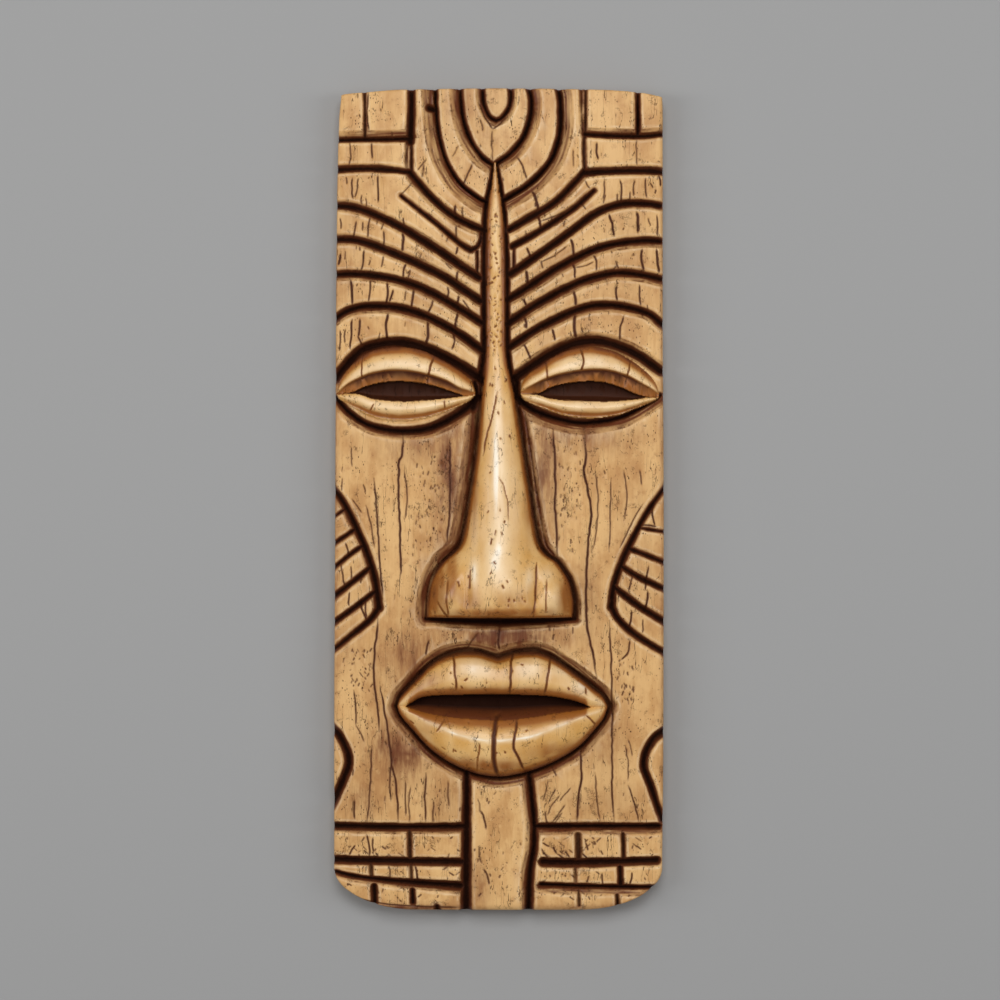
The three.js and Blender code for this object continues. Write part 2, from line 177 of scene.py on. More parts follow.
chinCuts = [
    ("postLeft", (6, 8), 2, 2, [(467, 772), (466.5, 830), (466, 916)]),
    ("postRight", (5.8, 6.4), 1.5, 5, [(529, 772), (533.5, 815), (534, 845), (530, 872), (528.5, 916)]),
    ("courseLeftA", (5.6, 6), 1, 3, [(331, 826), (400, 827), (466, 826)]),
    ("courseLeftB", (6, 5.8), 1, 1.5, [(331, 859.5), (370, 860.5), (462, 861.5)]),
    ("courseLeftC", (2.8, 7), 1, 3, [(336, 872), (350, 875.5), (370, 878.5), (410, 882), (461, 885.5)]),
    ("courseRightA", (5.4, 5), 1, 5, [(536, 826), (600, 826), (659, 826.5)]),
    ("courseRightB", (7, 5.8), 1, 2, [(543, 861.5), (560, 862), (600, 862), (657, 860.5)]),
    ("courseRightC", (4, 3.4), 1, 6, [(541, 884), (590, 886), (658, 887.5)]),
]
chinJoints = {  # column: width, first row, last row, darkness
    409.5: (3.4, 831, 858, 0.8),
    371: (2.8, 864, 880, 0.7),
    411: (1.9, 864, 880, 0.7),
    374.2: (4.8, 886, 902, 1),
    412.5: (4, 890, 902, 1),
    437: (4, 906, 911, 0.9),
    578: (4.8, 835, 858, 0.75),
    623: (2.8, 834, 858, 0.85),
    575: (1.6, 866, 882, 0.5),
    620: (4.2, 867, 885, 1),
    578.5: (1.9, 890, 905, 0.7),
    617: (2.6, 895, 904, 0.85),
}

# long cracks, in pixels: width, points
cracks = [
    (1.8, [(374, 478), (376, 500), (378, 530), (380, 560), (383, 602)]),
    (2.2, [(404, 432), (402, 455), (399, 464), (399, 500), (401, 560), (400, 580)]),
    (2, [(450, 440), (450, 500), (447, 545)]),
    (2, [(378, 618), (376, 640), (374, 662), (375, 690), (378, 712), (379, 732)]),
    (2, [(380, 686), (385, 712), (389, 738), (392, 765), (396, 785), (399, 822)]),
    (1.5, [(372, 745), (370, 790), (367, 822)]),
    (1.8, [(426, 772), (425, 800), (426, 822)]),
    (1.5, [(434, 800), (433, 822)]),
    (1.5, [(405, 470), (407, 500), (405, 520)]),
    (1.4, [(366, 505), (371, 525), (375, 548)]),
    (1.4, [(595, 470), (598, 500), (596, 530), (592, 552)]),
    (1.4, [(643, 503), (632, 522), (620, 548)]),
    (1.6, [(628, 785), (634, 802), (639, 822)]),
    (1.8, [(630, 640), (628, 652), (621, 660)]),
    (1.5, [(345, 889), (354, 895), (364, 899.5), (390, 904), (430, 906.3), (462, 906.8)]),
    (1.5, [(478, 633), (472, 641), (467, 648)]),
    (2.3, [(553, 428), (555, 470), (555, 510), (557, 545), (556, 558)]),
    (2.4, [(584, 430), (586, 458), (584, 470), (588, 492), (591, 512), (588, 545), (586, 600),
           (588, 632), (593, 655), (597, 680)]),
    (1.3, [(611, 478), (610, 520), (609, 552)]),
    (1.8, [(609, 620), (611, 660), (612, 720), (612, 790), (614, 823)]),
    (2.2, [(580, 748), (581, 778), (578, 800), (577, 822)]),
    (1.3, [(595, 772), (597, 800), (600, 821)]),
    (1.3, [(492.5, 130), (492, 148), (493, 163)]),
    (1.8, [(479, 103), (484, 116), (488, 123), (492.5, 130)]),
    (1.6, [(507, 117), (501, 123), (497, 127), (492.5, 130)]),
    (1.8, [(472, 164), (468, 175), (462, 187)]),
    (1.4, [(497, 392), (493, 415), (487, 435), (483, 456)]),
    (0.9, [(498, 476), (503, 485), (507, 500), (508, 520)]),
    (1.6, [(536, 562), (535, 590), (533, 616)]),
    (1.1, [(546, 578), (545, 612)]),
    (1.2, [(471, 568), (470, 588)]),
    (1.4, [(438, 600), (443, 609), (449, 617)]),
    (1.3, [(449, 578), (447, 596), (449, 615)]),
    (2.2, [(499, 627), (498.5, 638), (499, 650)]),
    (1.8, [(453, 653), (455, 668), (457, 690)]),
    (2, [(513, 651), (511, 665), (510, 694)]),
    (1.8, [(551, 655), (548, 672), (544, 694)]),
    (5, [(501, 711), (495.5, 720), (494, 740), (494.5, 760), (499, 777)]),
    (2.4, [(517, 716), (516, 728), (513, 742), (518, 755), (525, 770)]),
    (1.1, [(480, 740), (477, 770)]),
    (1.3, [(586, 714), (595, 724)]),
    (1.2, [(445, 718), (437, 730)]),
    (1.8, [(434, 357), (430, 368), (428, 384)]),
    (1.3, [(363, 358), (362, 370), (363, 380)]),
    (1.6, [(580, 348), (583, 360), (581, 372)]),
    (1.4, [(545, 360), (547, 372), (548, 386)]),
    (1.4, [(630, 360), (628, 372), (625, 386)]),
    (1.2, [(374, 404), (370, 411)]),
    (1.2, [(444, 401), (445, 409)]),
    (2, [(453, 333), (455, 341), (452, 350)]),
    (1.3, [(401, 195), (406, 190), (413, 182)]),
    (1.5, [(585, 181), (587, 185), (590, 189)]),
]

# splits that cross one band or block, in pixels: width, then column and row of both ends
splits = [
    (1.4, 349.5, 142, 349, 166), (1.8, 371.5, 143, 372.5, 159), (1.5, 369, 92, 369.5, 132),
    (1.8, 352.5, 178, 353, 199), (1.5, 358, 178, 355, 198), (2, 378, 175, 378, 203), (1.4, 346, 177, 347, 184),
    (1.4, 362, 195, 362, 205), (1.4, 366, 198, 366, 207), (1.4, 418, 171, 426, 160), (1.2, 452, 158, 459, 146),
    (1.4, 424, 165, 422, 178), (2.4, 455.5, 205, 456.5, 222), (1.8, 456, 226, 455, 242),
    (1.5, 463, 207, 463, 219), (1.4, 480, 120, 483, 132), (2, 597, 143, 597.5, 160), (1.3, 636.5, 140, 637, 166),
    (1.5, 634.5, 92, 636.5, 130), (1.7, 517, 157, 527, 180), (2.6, 532, 191, 538, 211),
    (1.3, 573, 150, 573, 168), (1.8, 620, 180, 621, 203), (1.5, 604, 180, 603, 200), (1.6, 645, 178, 647, 198),
    (1.5, 635, 180, 634, 196), (1.4, 617, 194, 618, 203), (1.4, 630, 192, 630, 203), (2, 659, 175, 660, 186),
    (1.4, 650, 183, 653, 188), (1.5, 340, 218, 341, 229), (1.6, 356, 221, 353, 240), (1.6, 371, 217, 368, 238),
    (1.4, 363, 222, 363, 231), (1.6, 384, 231, 383, 247), (2.6, 403, 233, 402, 252), (1.6, 403, 218, 405, 225),
    (1.4, 384, 223, 381, 230), (1.8, 364, 250, 361, 271), (1.5, 383, 256, 381, 268), (2, 406, 264, 403, 278),
    (1.4, 410, 270, 408, 279), (2.2, 340, 254, 338, 265), (1.3, 345, 251, 345, 260), (2, 458, 247, 456, 255),
    (2.2, 458, 272, 456, 282), (1.3, 445, 263, 452, 270), (2.4, 351, 280, 352, 305), (1.8, 370, 280, 369, 302),
    (2.2, 387, 282, 386, 305), (2, 393, 290, 390, 302), (2.4, 414, 290, 411, 308), (1.3, 406, 291, 405, 301),
    (1.8, 433, 300, 429, 313), (2, 448, 287, 447, 299), (2.2, 459, 296, 457, 306), (1.5, 463, 300, 472, 313),
    (2.6, 388, 313, 388, 341), (2, 360, 319, 358, 337), (1.8, 358, 336, 362, 345), (2, 352, 319, 350, 349),
    (2.8, 428, 321, 426, 346), (2.2, 458, 313, 455, 329), (1.6, 340, 330, 340, 351), (1.5, 345, 329, 345, 343),
    (1.3, 380, 332, 376, 345), (2, 533, 194, 538, 211), (2.4, 538, 216, 541, 230), (2.2, 527, 248, 530, 259),
    (1.6, 541, 261, 543, 269), (2.6, 571, 239, 574, 257), (2.4, 609, 214, 614, 237),
    (3, 637, 212, 638, 233), (1.6, 657, 215, 657, 236), (2.2, 573, 264, 575, 279), (1.8, 594, 255, 596, 271),
    (2.2, 642, 249, 644, 271), (1.5, 616, 261, 619, 269), (2.5, 657, 249, 659, 273), (2.8, 573, 291, 575, 306),
    (2, 616, 286, 617, 301), (1.8, 640, 285, 641, 306), (2.2, 523, 299, 526, 306), (2.6, 524, 317, 527, 329),
    (3.4, 575, 314, 576, 339), (1.8, 624, 316, 620, 341), (2.2, 552, 329, 555, 341), (2.2, 524, 344, 531, 360),
    (3, 526, 271, 527, 285), (1.4, 581, 203, 586, 210), (1.4, 605, 195, 603, 204), (1.3, 540, 263, 568, 246),
    (1.3, 575, 268, 594, 262), (1.3, 540, 222, 575, 205), (1.2, 648, 218, 651, 226),
    (1.6, 345, 543, 349, 557), (1.5, 341, 564, 345, 586), (1.4, 351, 566, 352, 579), (1.7, 349, 592, 349, 606),
    (2, 360, 603, 367, 620), (1.8, 365, 601, 367, 618), (1.2, 352, 447, 352, 467), (1.3, 342, 478, 342, 491),
    (1.3, 363, 484, 365, 493), (1.3, 352, 499, 362, 513), (1.5, 354, 690, 356, 726), (1.3, 356, 725, 364, 742),
    (1.4, 448, 780, 449, 807), (1.5, 393, 755, 391, 801), (1.5, 405, 780, 406, 816), (1.3, 411, 785, 410, 822),
    (1.8, 354, 800, 355, 819), (2, 429, 640, 426, 655), (1.3, 623, 470, 624, 521), (1.3, 640, 470, 642, 485),
    (1.8, 652, 504, 655, 526), (1.8, 641, 525, 657, 527), (1.8, 649, 566, 645, 591), (1.6, 633, 576, 629, 591),
    (2, 648, 591, 645, 613), (2, 632, 611, 629, 628), (1.4, 643, 619, 642, 633), (1.5, 551, 764, 556, 776),
    (1.3, 571, 787, 559, 801), (1.3, 560, 794, 547, 815), (1.4, 565, 804, 552, 822), (1.3, 562, 812, 554, 823),
    (1.6, 545, 811, 547, 823), (1.3, 556, 788, 549, 802), (1.2, 548, 779, 543, 801), (1.3, 625, 745, 628, 781),
    (1.2, 628, 739, 632, 756), (1.2, 478, 798, 480, 812), (1.8, 481, 810, 486, 829), (1.4, 479, 845, 482, 863),
    (1.8, 484, 868, 489, 884), (1.8, 349, 855, 356, 845), (1.8, 367, 834, 370, 856), (1.6, 373, 838, 374, 852),
    (1.5, 389, 865, 390, 878), (2, 415, 865, 418, 879), (1.6, 585, 842, 588, 850),
    (1.8, 582, 853, 587, 858), (1.6, 565, 850, 570, 857), (1.8, 553, 846, 556, 853), (1.6, 542, 842, 550, 846),
    (1.6, 541, 848, 548, 857), (1.6, 602, 873, 603, 884), (1.8, 632, 872, 630, 884), (1.5, 586, 882, 589, 875),
]

# nose: row, left edge, right edge, in pixels, and rise as a share of the whole
noseStations = [
    (163, 494, 496, 0.02), (185, 492, 498.5, 0.04), (205, 489, 501.5, 0.05), (230, 487.5, 503.5, 0.06),
    (262, 487, 504.5, 0.06), (300, 486.5, 505, 0.06), (340, 486.5, 505, 0.07), (360, 485.5, 506.5, 0.1),
    (380, 484, 511, 0.17), (400, 481.5, 515, 0.25), (420, 480, 518, 0.33), (440, 478.5, 521, 0.41),
    (460, 476, 524, 0.47), (480, 473.5, 527, 0.535),
    (500, 470.5, 530, 0.6), (520, 467, 533, 0.66), (540, 463, 537, 0.73),
    (548, 459, 540, 0.765), (555, 452, 546, 0.805), (562, 444, 556, 0.85), (570, 438, 562, 0.9),
    (580, 433, 568, 0.955), (590, 430.5, 571, 0.985), (603, 428.5, 573, 1.0),
    (618, 428, 572.5, 0.98),
]
noseLobes = [  # column, row, half width, half height, height as a share: tip, wings and the valleys between
    (499, 580, 22, 26, 0.06), (446, 594, 12, 21, 0.26), (556, 594, 13, 21, 0.24),
    (466, 590, 6, 22, -0.12), (535, 590, 6, 22, -0.12),
]
noseEnd = {"row": 617.5, "round": 7.0, "drop": 0.36}

lipLines = {
    "top": [(397.5, 706), (399.5, 699), (404, 693), (412, 684.5), (420, 676), (430, 666), (440, 659), (450, 655), (460, 652.5),
            (470, 652), (480, 653), (490, 656), (498, 658), (506, 656), (515, 653.5), (525, 652),
            (535, 652), (545, 655), (555, 660), (575, 674), (593, 688.5), (603, 697), (607.5, 706)],
    "openTop": [(397.5, 706), (404, 706), (412, 702), (420, 697.5), (432, 695), (450, 694), (500, 693.5), (540, 694.5),
                (560, 697), (580, 702), (592, 706.5), (607.5, 706.5)],
    "openLow": [(397.5, 706), (404, 706), (420, 710), (440, 714.5), (470, 717.5), (500, 719), (530, 716),
                (560, 711.5), (580, 709), (592, 706.5), (607.5, 706.5)],
    "crest": [(397.5, 707), (415, 713), (434, 723), (462, 734), (492, 739), (525, 736), (557, 725),
              (580, 716), (607.5, 707)],
    "low": [(397.5, 707), (399.5, 713), (404, 719.5), (412, 728.5), (430, 748), (450, 762), (470, 771), (490, 775.5), (500, 776),
            (520, 773), (540, 767), (560, 758), (580, 745), (597, 726.5), (604, 717), (607.5, 707.5)],
}
leftLid = {
    "top": [(336.5, 393), (338, 386), (341, 379), (350, 367), (360, 358), (370, 352), (380, 349), (400, 347),
            (420, 350), (440, 359), (460, 371), (468, 378), (473, 384), (475.5, 392)],
    "crease": [(337, 394), (346, 387), (355, 382), (375, 374.5), (395, 372), (405, 372.5),
               (425, 376), (445, 382), (463, 391), (475.5, 393)],
    "openTop": [(337, 394), (352, 392.5), (365, 387), (385, 382.5), (400, 381.5), (415, 382.5),
                (435, 386.5), (455, 393), (466, 396), (475.5, 395)],
    "openLow": [(337, 394.2), (355, 394), (375, 399.5), (405, 402), (435, 400), (466, 396.4),
                (475.5, 395.2)],
    "low": [(336.5, 394.5), (339, 399), (343, 401.5), (350, 406), (360, 411), (370, 416), (380, 419), (400, 421.5), (420, 419.5),
            (440, 414), (460, 406), (470, 401), (475.5, 395.5)],
}
rightLid = {
    "top": [(520.5, 391), (522, 383.5), (525, 378), (530, 373), (540, 366), (550, 359), (570, 350), (590, 347),
            (610, 350.5), (630, 360), (640, 367), (651, 377), (656.5, 385), (659, 393)],
    "crease": [(520.5, 392), (530, 388), (545, 381), (565, 375), (585, 372), (595, 371.5),
               (605, 372), (625, 377), (643, 386), (659, 394)],
    "openTop": [(520.5, 393.5), (538, 393.5), (550, 388), (560, 385), (580, 382), (590, 381.5),
                (600, 382), (620, 387.5), (638, 395), (648, 397), (659, 397.5)],
    "openLow": [(520.5, 394), (538, 395.5), (550, 399), (575, 401.5), (605, 402), (635, 399.8),
                (648, 397.8), (659, 397.8)],
    "low": [(520.5, 394.5), (522.5, 399), (527, 402), (535, 405.5), (545, 409), (565, 416), (590, 418.5), (615, 416), (635, 409),
            (652, 402), (659, 397.9)],
}


def toMm(points):
    spots = np.array(points, float)
    return np.column_stack((
        (spots[:, 0] - photo["middleX"]) * pixel,
        (photo["middleY"] - spots[:, 1]) * pixel,
    ))


def smoothLine(points, step):
    # a smooth line through the points, sampled about every step
    spots = toMm(points)
    if len(spots) == 2:
        spots = np.vstack((spots[0], spots.mean(axis=0), spots[1]))
    ends = np.vstack((2 * spots[0] - spots[1], spots, 2 * spots[-1] - spots[-2]))
    line = []
    for a, b, c, d in zip(ends[:-3], ends[1:-2], ends[2:-1], ends[3:]):
        count = max(2, int(np.hypot(*(c - b)) / step))
        t = np.linspace(0, 1, count, endpoint=False)[:, None]
        line.append(0.5 * (2 * b + (c - a) * t + (2 * a - 5 * b + 4 * c - d) * t**2
                           + (3 * b - a - 3 * c + d) * t**3))
    line.append(spots[-1:])
    return np.vstack(line)


def smoothThrough(at, knots, values):
    # a curve through the knots with an even slope at each, so that no kink shows in the gloss
    knots, values = np.array(knots, float), np.array(values, float)
    gaps = np.diff(knots)
    rates = np.diff(values) / gaps
    slopes = np.concatenate(([rates[0]], np.zeros(len(rates) - 1), [rates[-1]]))
    inner = rates[:-1] * rates[1:] > 0
    slopes[1:-1][inner] = (2 * rates[:-1] * rates[1:])[inner] / (rates[:-1] + rates[1:])[inner]
    at = np.clip(at, knots[0], knots[-1])
    k = np.clip(np.searchsorted(knots, at) - 1, 0, len(gaps) - 1)
    t = (at - knots[k]) / gaps[k]
    return (values[k] * (2 * t**3 - 3 * t**2 + 1) + slopes[k] * gaps[k] * (t**3 - 2 * t**2 + t)
            + values[k + 1] * (3 * t**2 - 2 * t**3) + slopes[k + 1] * gaps[k] * (t**3 - t**2))


def rowOf(points, columns):
    # the height of a line on the face, in millimetres, above each column
    spots = toMm(points)
    return smoothThrough(columns, spots[:, 0], spots[:, 1])


def ease(low, high, value):
    t = np.clip((value - low) / (high - low), 0, 1)
    return t * t * (3 - 2 * t)


# the relief is worked out on a flat field of points over the whole face
reach = {
    "x": (cadHigh.x - cadLow.x) / mm / 2 + maskShape["margin"],
    "y": (cadHigh.y - cadLow.y) / mm / 2 + maskShape["margin"],
}
cell = maskShape["cell"]
fieldX = np.arange(-reach["x"], reach["x"] + cell, cell)
fieldY = np.arange(-reach["y"], reach["y"] + cell, cell)
gridX = np.broadcast_to(fieldX, (len(fieldY), len(fieldX)))
gridY = np.broadcast_to(fieldY[:, None], (len(fieldY), len(fieldX)))
chance = np.random.default_rng(maskShape["seed"])


def softNoise(across, along):
    # smooth seeded noise between -1 and 1, with waves of the given lengths in millimetres
    wide = int(2 * reach["x"] / across) + 4
    tall = int(2 * reach["y"] / along) + 4
    coarse = chance.uniform(-1, 1, (tall, wide))
    x = (fieldX + reach["x"]) / across
    y = (fieldY + reach["y"]) / along
    i, j = x.astype(int), y.astype(int)
    u, v = x - i, y - j
    u, v = u * u * (3 - 2 * u), (v * v * (3 - 2 * v))[:, None]
    low = coarse[j][:, i] * (1 - u) + coarse[j][:, i + 1] * u
    high = coarse[j + 1][:, i] * (1 - u) + coarse[j + 1][:, i + 1] * u
    return low * (1 - v) + high * v


def nearLine(line, pad):
    # the block of the field round a line and, in it, the distance to the line, the side
    # that a point lies on (+ on the left hand) and how far along the line it is
    def within(low, high):
        c0, c1 = np.searchsorted(fieldX, (low[0] - pad, high[0] + pad))
        r0, r1 = np.searchsorted(fieldY, (low[1] - pad, high[1] + pad))
        return r0, r1, c0, c1

    top, bottom, first, last = within(line.min(axis=0), line.max(axis=0))
    block = np.s_[top:bottom, first:last]
    x, y = gridX[block], gridY[block]
    distance = np.full(x.shape, pad * 2.0)
    side = np.zeros(x.shape)
    share = np.zeros(x.shape)
    total = len(line) - 1
    for n, (a, b) in enumerate(zip(line[:-1], line[1:])):
        r0, r1, c0, c1 = within(np.minimum(a, b), np.maximum(a, b))
        part = np.s_[r0 - top:r1 - top, c0 - first:c1 - first]
        dx, dy = x[part] - a[0], y[part] - a[1]
        run = b - a
        t = np.clip((dx * run[0] + dy * run[1]) / max(run @ run, 1e-9), 0, 1)
        away = np.hypot(dx - t * run[0], dy - t * run[1])
        nearer = away < distance[part]
        distance[part] = np.where(nearer, away, distance[part])
        side[part] = np.where(nearer, np.sign(run[0] * dy - run[1] * dx), side[part])
        share[part] = np.where(nearer, (n + t) / total, share[part])
    return block, distance, side, share


wobble = 0.2 * softNoise(5, 5) + 0.12 * softNoise(1.6, 1.6)
depthOfCut = np.zeros(gridX.shape)
shoulder = np.zeros(gridX.shape)
inkAndShade = np.zeros(gridX.shape)
washAndShade = np.zeros(gridX.shape)
wearAndHighlight = np.zeros(gridX.shape)
chiselTable = chance.uniform(-1, 1, (96, 512))


def chiselMarks(across, along):
    # streaks that the chisel left beside a cut: thin across it and long along it
    u, v = across / 0.62 + 40, along / 9 + 3
    i, j = u.astype(int), v.astype(int)
    u, v = u - i, v - j
    i, j = i % 95, j % 511
    low = chiselTable[i, j] * (1 - u) + chiselTable[i + 1, j] * u
    high = chiselTable[i, j + 1] * (1 - u) + chiselTable[i + 1, j + 1] * u
    return low * (1 - v) + high * v


def raise_(field, block, value):
    field[block] = np.maximum(field[block], value)


def carve(widths, slopeLeft, slopeRight, points, dark=1.0):
    # one gouged cut: a dark channel with a chiselled slope down to it at each side
    line = smoothLine(points, 1.2)
    block, distance, side, share = nearLine(line, 12)
    length = np.hypot(*np.diff(line, axis=0).T).sum()
    marks = chiselMarks(distance * side, share * length + 40 * abs(slopeLeft - slopeRight) + length)
    distance = distance + wobble[block]
    half = pixel * (widths[0] + (widths[1] - widths[0]) * share) / 2 * (1.2 if widths[0] > 2.5 else 1)
    slope = pixel * np.where(side > 0, slopeLeft, slopeRight)
    channel = np.clip(1 - np.abs(distance) / (half * 1.25), 0, 1) ** 0.7
    raise_(depthOfCut, block, channel * (0.4 + 1.35 * half))
    past = np.clip(distance - half * 0.75, 0, None)
    bevel = np.clip(1 - past / (slope * 1.1 + 0.5), 0, 1)
    round_ = np.exp(-((past / (1.5 + 0.4 * slope)) ** 2))
    raise_(shoulder, block, (bevel * 0.55 * slope + 0.62 * round_) * (1 + 0.14 * marks))
    core = 1 - ease(half * 0.4, half * 1.14 + 0.1, distance + 0.16 * marks)
    raise_(inkAndShade, block, dark * core)
    # brown darkest at the cut, fading up its slope and past its edge
    margin = 0.95 * np.exp(-((np.clip(distance - half, 0, None) / 0.95) ** 2))
    darkening = bevel**0.42 * np.clip(0.72 + 0.07 * slope, 0, 0.92) * (0.88 + 0.6 * marks)
    darkening = np.maximum(darkening, 0.4 * np.exp(-((past / (1.2 + 0.5 * half)) ** 2)) * min(1, widths[0] / 4))
    # a broad slope ends in a fine broken line, and past it lies a light rim: partly edge wear, partly painted
    # highlight
    foot = np.exp(-(((distance - half * 0.8 - slope * 1.1) / 0.38) ** 2)) * ease(1.1, 1.7, slope)
    foot = foot * np.clip(0.5 + 1.6 * marks, 0, 1)
    raise_(washAndShade, block, np.clip(np.maximum.reduce([darkening, margin * dark, 0.85 * foot]), 0, 1))
    raise_(inkAndShade, block, 0.34 * dark * foot)
    rim = np.exp(-(((distance - half - slope * 1.1 - 0.9) / 0.42) ** 2))
    raise_(wearAndHighlight, block, rim * (0.6 + 0.4 * marks))


print("carving the head, brows, cheeks and chin")
for name, *cut in headCuts + browCuts + eyeCuts + cheekCuts + chinCuts:
    carve(*cut)
for column, (width, first, last, dark) in chinJoints.items():
    carve((width, width), 1, 1, [(column, first), (column + 0.6, last)], dark)

# cuts that run round the nose and the lips, a little outside their edges
noseLeft = [(left - 1.8, row) for row, left, right, rise in noseStations if row > 375]
noseRight = [(right + 1.8, row) for row, left, right, rise in noseStations if row > 375]
carve((4.8, 3.6), 1, 9, [spot for spot in noseLeft if spot[1] < 565], 0.62)
carve((3.2, 2.4), 1, 8, [spot for spot in noseLeft if spot[1] > 550], 0.45)
carve((4.4, 3.6), 7, 1, [spot for spot in noseRight if spot[1] < 560], 0.68)
carve((3.4, 5.4), 3, 1, [spot for spot in noseRight if spot[1] > 545], 0.86)
carve((1.5, 1.8), 2, 1, [(x + 6, y) for x, y in noseRight if y < 560], 0.4)
carve((3.4, 7.6), 1, 4, [(426, 619), (460, 620.5), (500, 621.5)])
carve((7.6, 3.4), 1, 4, [(500, 621.5), (540, 620.5), (575, 619)])
lipRing = [(x, y - 1.8) for x, y in lipLines["top"]]
carve((4, 4.6), 6, 1, [(396, 707)] + lipRing[1:-1] + [(609.5, 706)], 0.78)
lipRing = [(x, y + 1.6) for x, y in lipLines["low"]]
carve((4, 4.6), 1, 6, [(396, 706)] + lipRing[1:-1] + [(609.5, 707)], 0.86)

print("shaping the nose, the lips and the lids")


def noseForm():
    rows, lefts, rights, rises = map(np.array, zip(*noseStations))
    across = toMm(np.column_stack((lefts, rows)))
    order = np.argsort(across[:, 1])
    knots = across[order, 1]
    left = smoothThrough(fieldY, knots, across[order, 0])[:, None]
    right = smoothThrough(fieldY, knots, toMm(np.column_stack((rights, rows)))[order, 0])[:, None]
    rise = smoothThrough(fieldY, knots, rises[order] * maskShape["noseRise"])[:, None]
    u = (gridX - (left + right) / 2) / ((right - left) / 2)
    inside = np.clip(1 - u * u, 0, 1)
    shape = inside**0.66
    for x, y, wide, tall, height in noseLobes:
        spot = toMm([(x, y)])[0]
        lobe = ((gridX - spot[0]) / (wide * pixel)) ** 2 + ((gridY - spot[1]) / (tall * pixel)) ** 2
        shape = shape + height * np.exp(-lobe) * ease(0, 0.3, inside)
    end = toMm([(0, noseEnd["row"])])[0, 1]
    up = np.clip((gridY - end) / noseEnd["round"], 0, 1)
    low = 1 - noseEnd["drop"] * (1 - np.sqrt(1 - (1 - up) ** 2))
    form = rise * shape * low
    start = knots[-1]
    on = (inside > 0) & (gridY > end) & (gridY < start)
    # brown along both sides of the nose and on its rounded underside, where the form turns away: partly patina, partly
    # painted shade
    edge = np.exp(-((((right - left) / 2 * (1 - np.abs(u))) / 2.2) ** 2))
    agedAndShaded = np.maximum(0.88 * edge, 0.8 * (1 - ease(0, 0.55, up)))
    agedAndShaded = agedAndShaded * (0.35 + 0.65 * ease(0, 60, start - gridY))
    # painted highlight along the ridge of the nose
    ridge = np.exp(-(((gridX - 0.5 * (left + right) + 0.6) / (0.2 * np.minimum(right - left, 48))) ** 2))
    highlight = 0.5 * ridge * ease(105, 40, gridY) * ease(0.1, 0.9, up) * ease(-64, -45, gridY)
    return np.where(on, form, -99.0), np.where(on, agedAndShaded, 0), np.where(on, highlight, 0)


def lipForm():
    top, openTop, openLow, crest, low = (
        rowOf(lipLines[name], fieldX)[None, :] for name in ("top", "openTop", "openLow", "crest", "low")
    )
    ends = toMm([lipLines["top"][0], lipLines["top"][-1]])[:, 0]
    s = np.clip((fieldX - ends.mean()) / (np.ptp(ends) / 2), -1, 1)[None, :]
    s_ = s
    rise = maskShape["lipRise"] * (1 - np.abs(s) ** 2.4) ** 0.55
    t = np.clip((top - gridY) / np.maximum(top - openTop, 0.4), 0, 1)
    swell = np.sqrt(1 - (1 - np.clip(t / 0.3, 0, 1)) ** 2) * 0.74 + 0.26 * np.sin(np.clip(t / 0.7, 0, 1) * math.pi / 2)
    upper = rise * (swell - 0.4 * np.clip((t - 0.62) / 0.38, 0, 1) ** 2.2)
    t = np.clip((openLow - gridY) / np.maximum(openLow - crest, 0.4), 0, 1)
    rolled = rise * (0.62 + 0.38 * np.sin(t * math.pi / 2))
    t = np.clip((crest - gridY) / np.maximum(crest - low, 0.4), 0, 1)
    lower = rise * (1 - t**2.3) ** 0.6
    s = np.clip((openTop - gridY) / np.maximum(openTop - openLow, 0.4), 0, 1)
    inner = maskShape["mouthFloor"] + (0.6 * rise - maskShape["mouthFloor"]) * ease(0.5, 1.05, s)
    inner = np.minimum(inner, 0.62 * rise)
    form = np.where(gridY > openTop, upper, np.where(gridY > openLow, inner, np.where(gridY > crest, rolled, lower)))
    inside = (gridY < top) & (gridY > low) & (gridX > ends[0]) & (gridX < ends[1])
    open_ = inside & (gridY < openTop) & (gridY > openLow)
    gap = ease(0.3, 2.5, openTop - openLow)
    # painted shade in the mouth: near black under the upper lip, lighter towards the lower lip
    shade = np.where(open_, (1 - 0.86 * ease(0.48, 0.82, s)) * gap, 0)
    # brown along the outline and at both edges of the mouth, where the lips turn in and under: partly patina, partly
    # painted shade
    fromTop, fromLow = top - gridY, gridY - low
    agedAndShaded = np.maximum(0.95 * np.exp(-((fromTop / 2.6) ** 2)), 0.95 * np.exp(-((fromLow / 4.2) ** 2)))
    agedAndShaded = np.maximum(agedAndShaded, 0.8 * np.exp(-(((gridY - openTop) / 4.6) ** 2)) * (gridY > openTop) * gap)
    agedAndShaded = np.maximum(agedAndShaded, 0.66 * np.exp(-(((gridY - openLow) / 5.4) ** 2)) * (gridY < openLow) * (gridY > crest) * gap)
    # painted highlights: broad on the upper lip and brighter to the right, and a thin line along the lower lip's crest
    t = np.clip((top - gridY) / np.maximum(top - openTop, 0.4), 0, 1)
    highlight = 0.12 * ease(0.12, 0.3, t) * ease(0.85, 0.6, t) * (gridY > openTop) * (1 + 0.35 * ease(20, 50, gridX))
    highlight = np.maximum(highlight, 0.85 * np.exp(-(((gridY - crest - 0.3) / 1.3) ** 2)) * (gridY < openLow) * (1 - s_**4))
    highlight = np.where(inside, highlight * (1 - 0.5 * agedAndShaded), 0)
    return np.where(inside, form, -99.0), shade, np.where(inside, np.where(open_, 1, agedAndShaded), 0), highlight


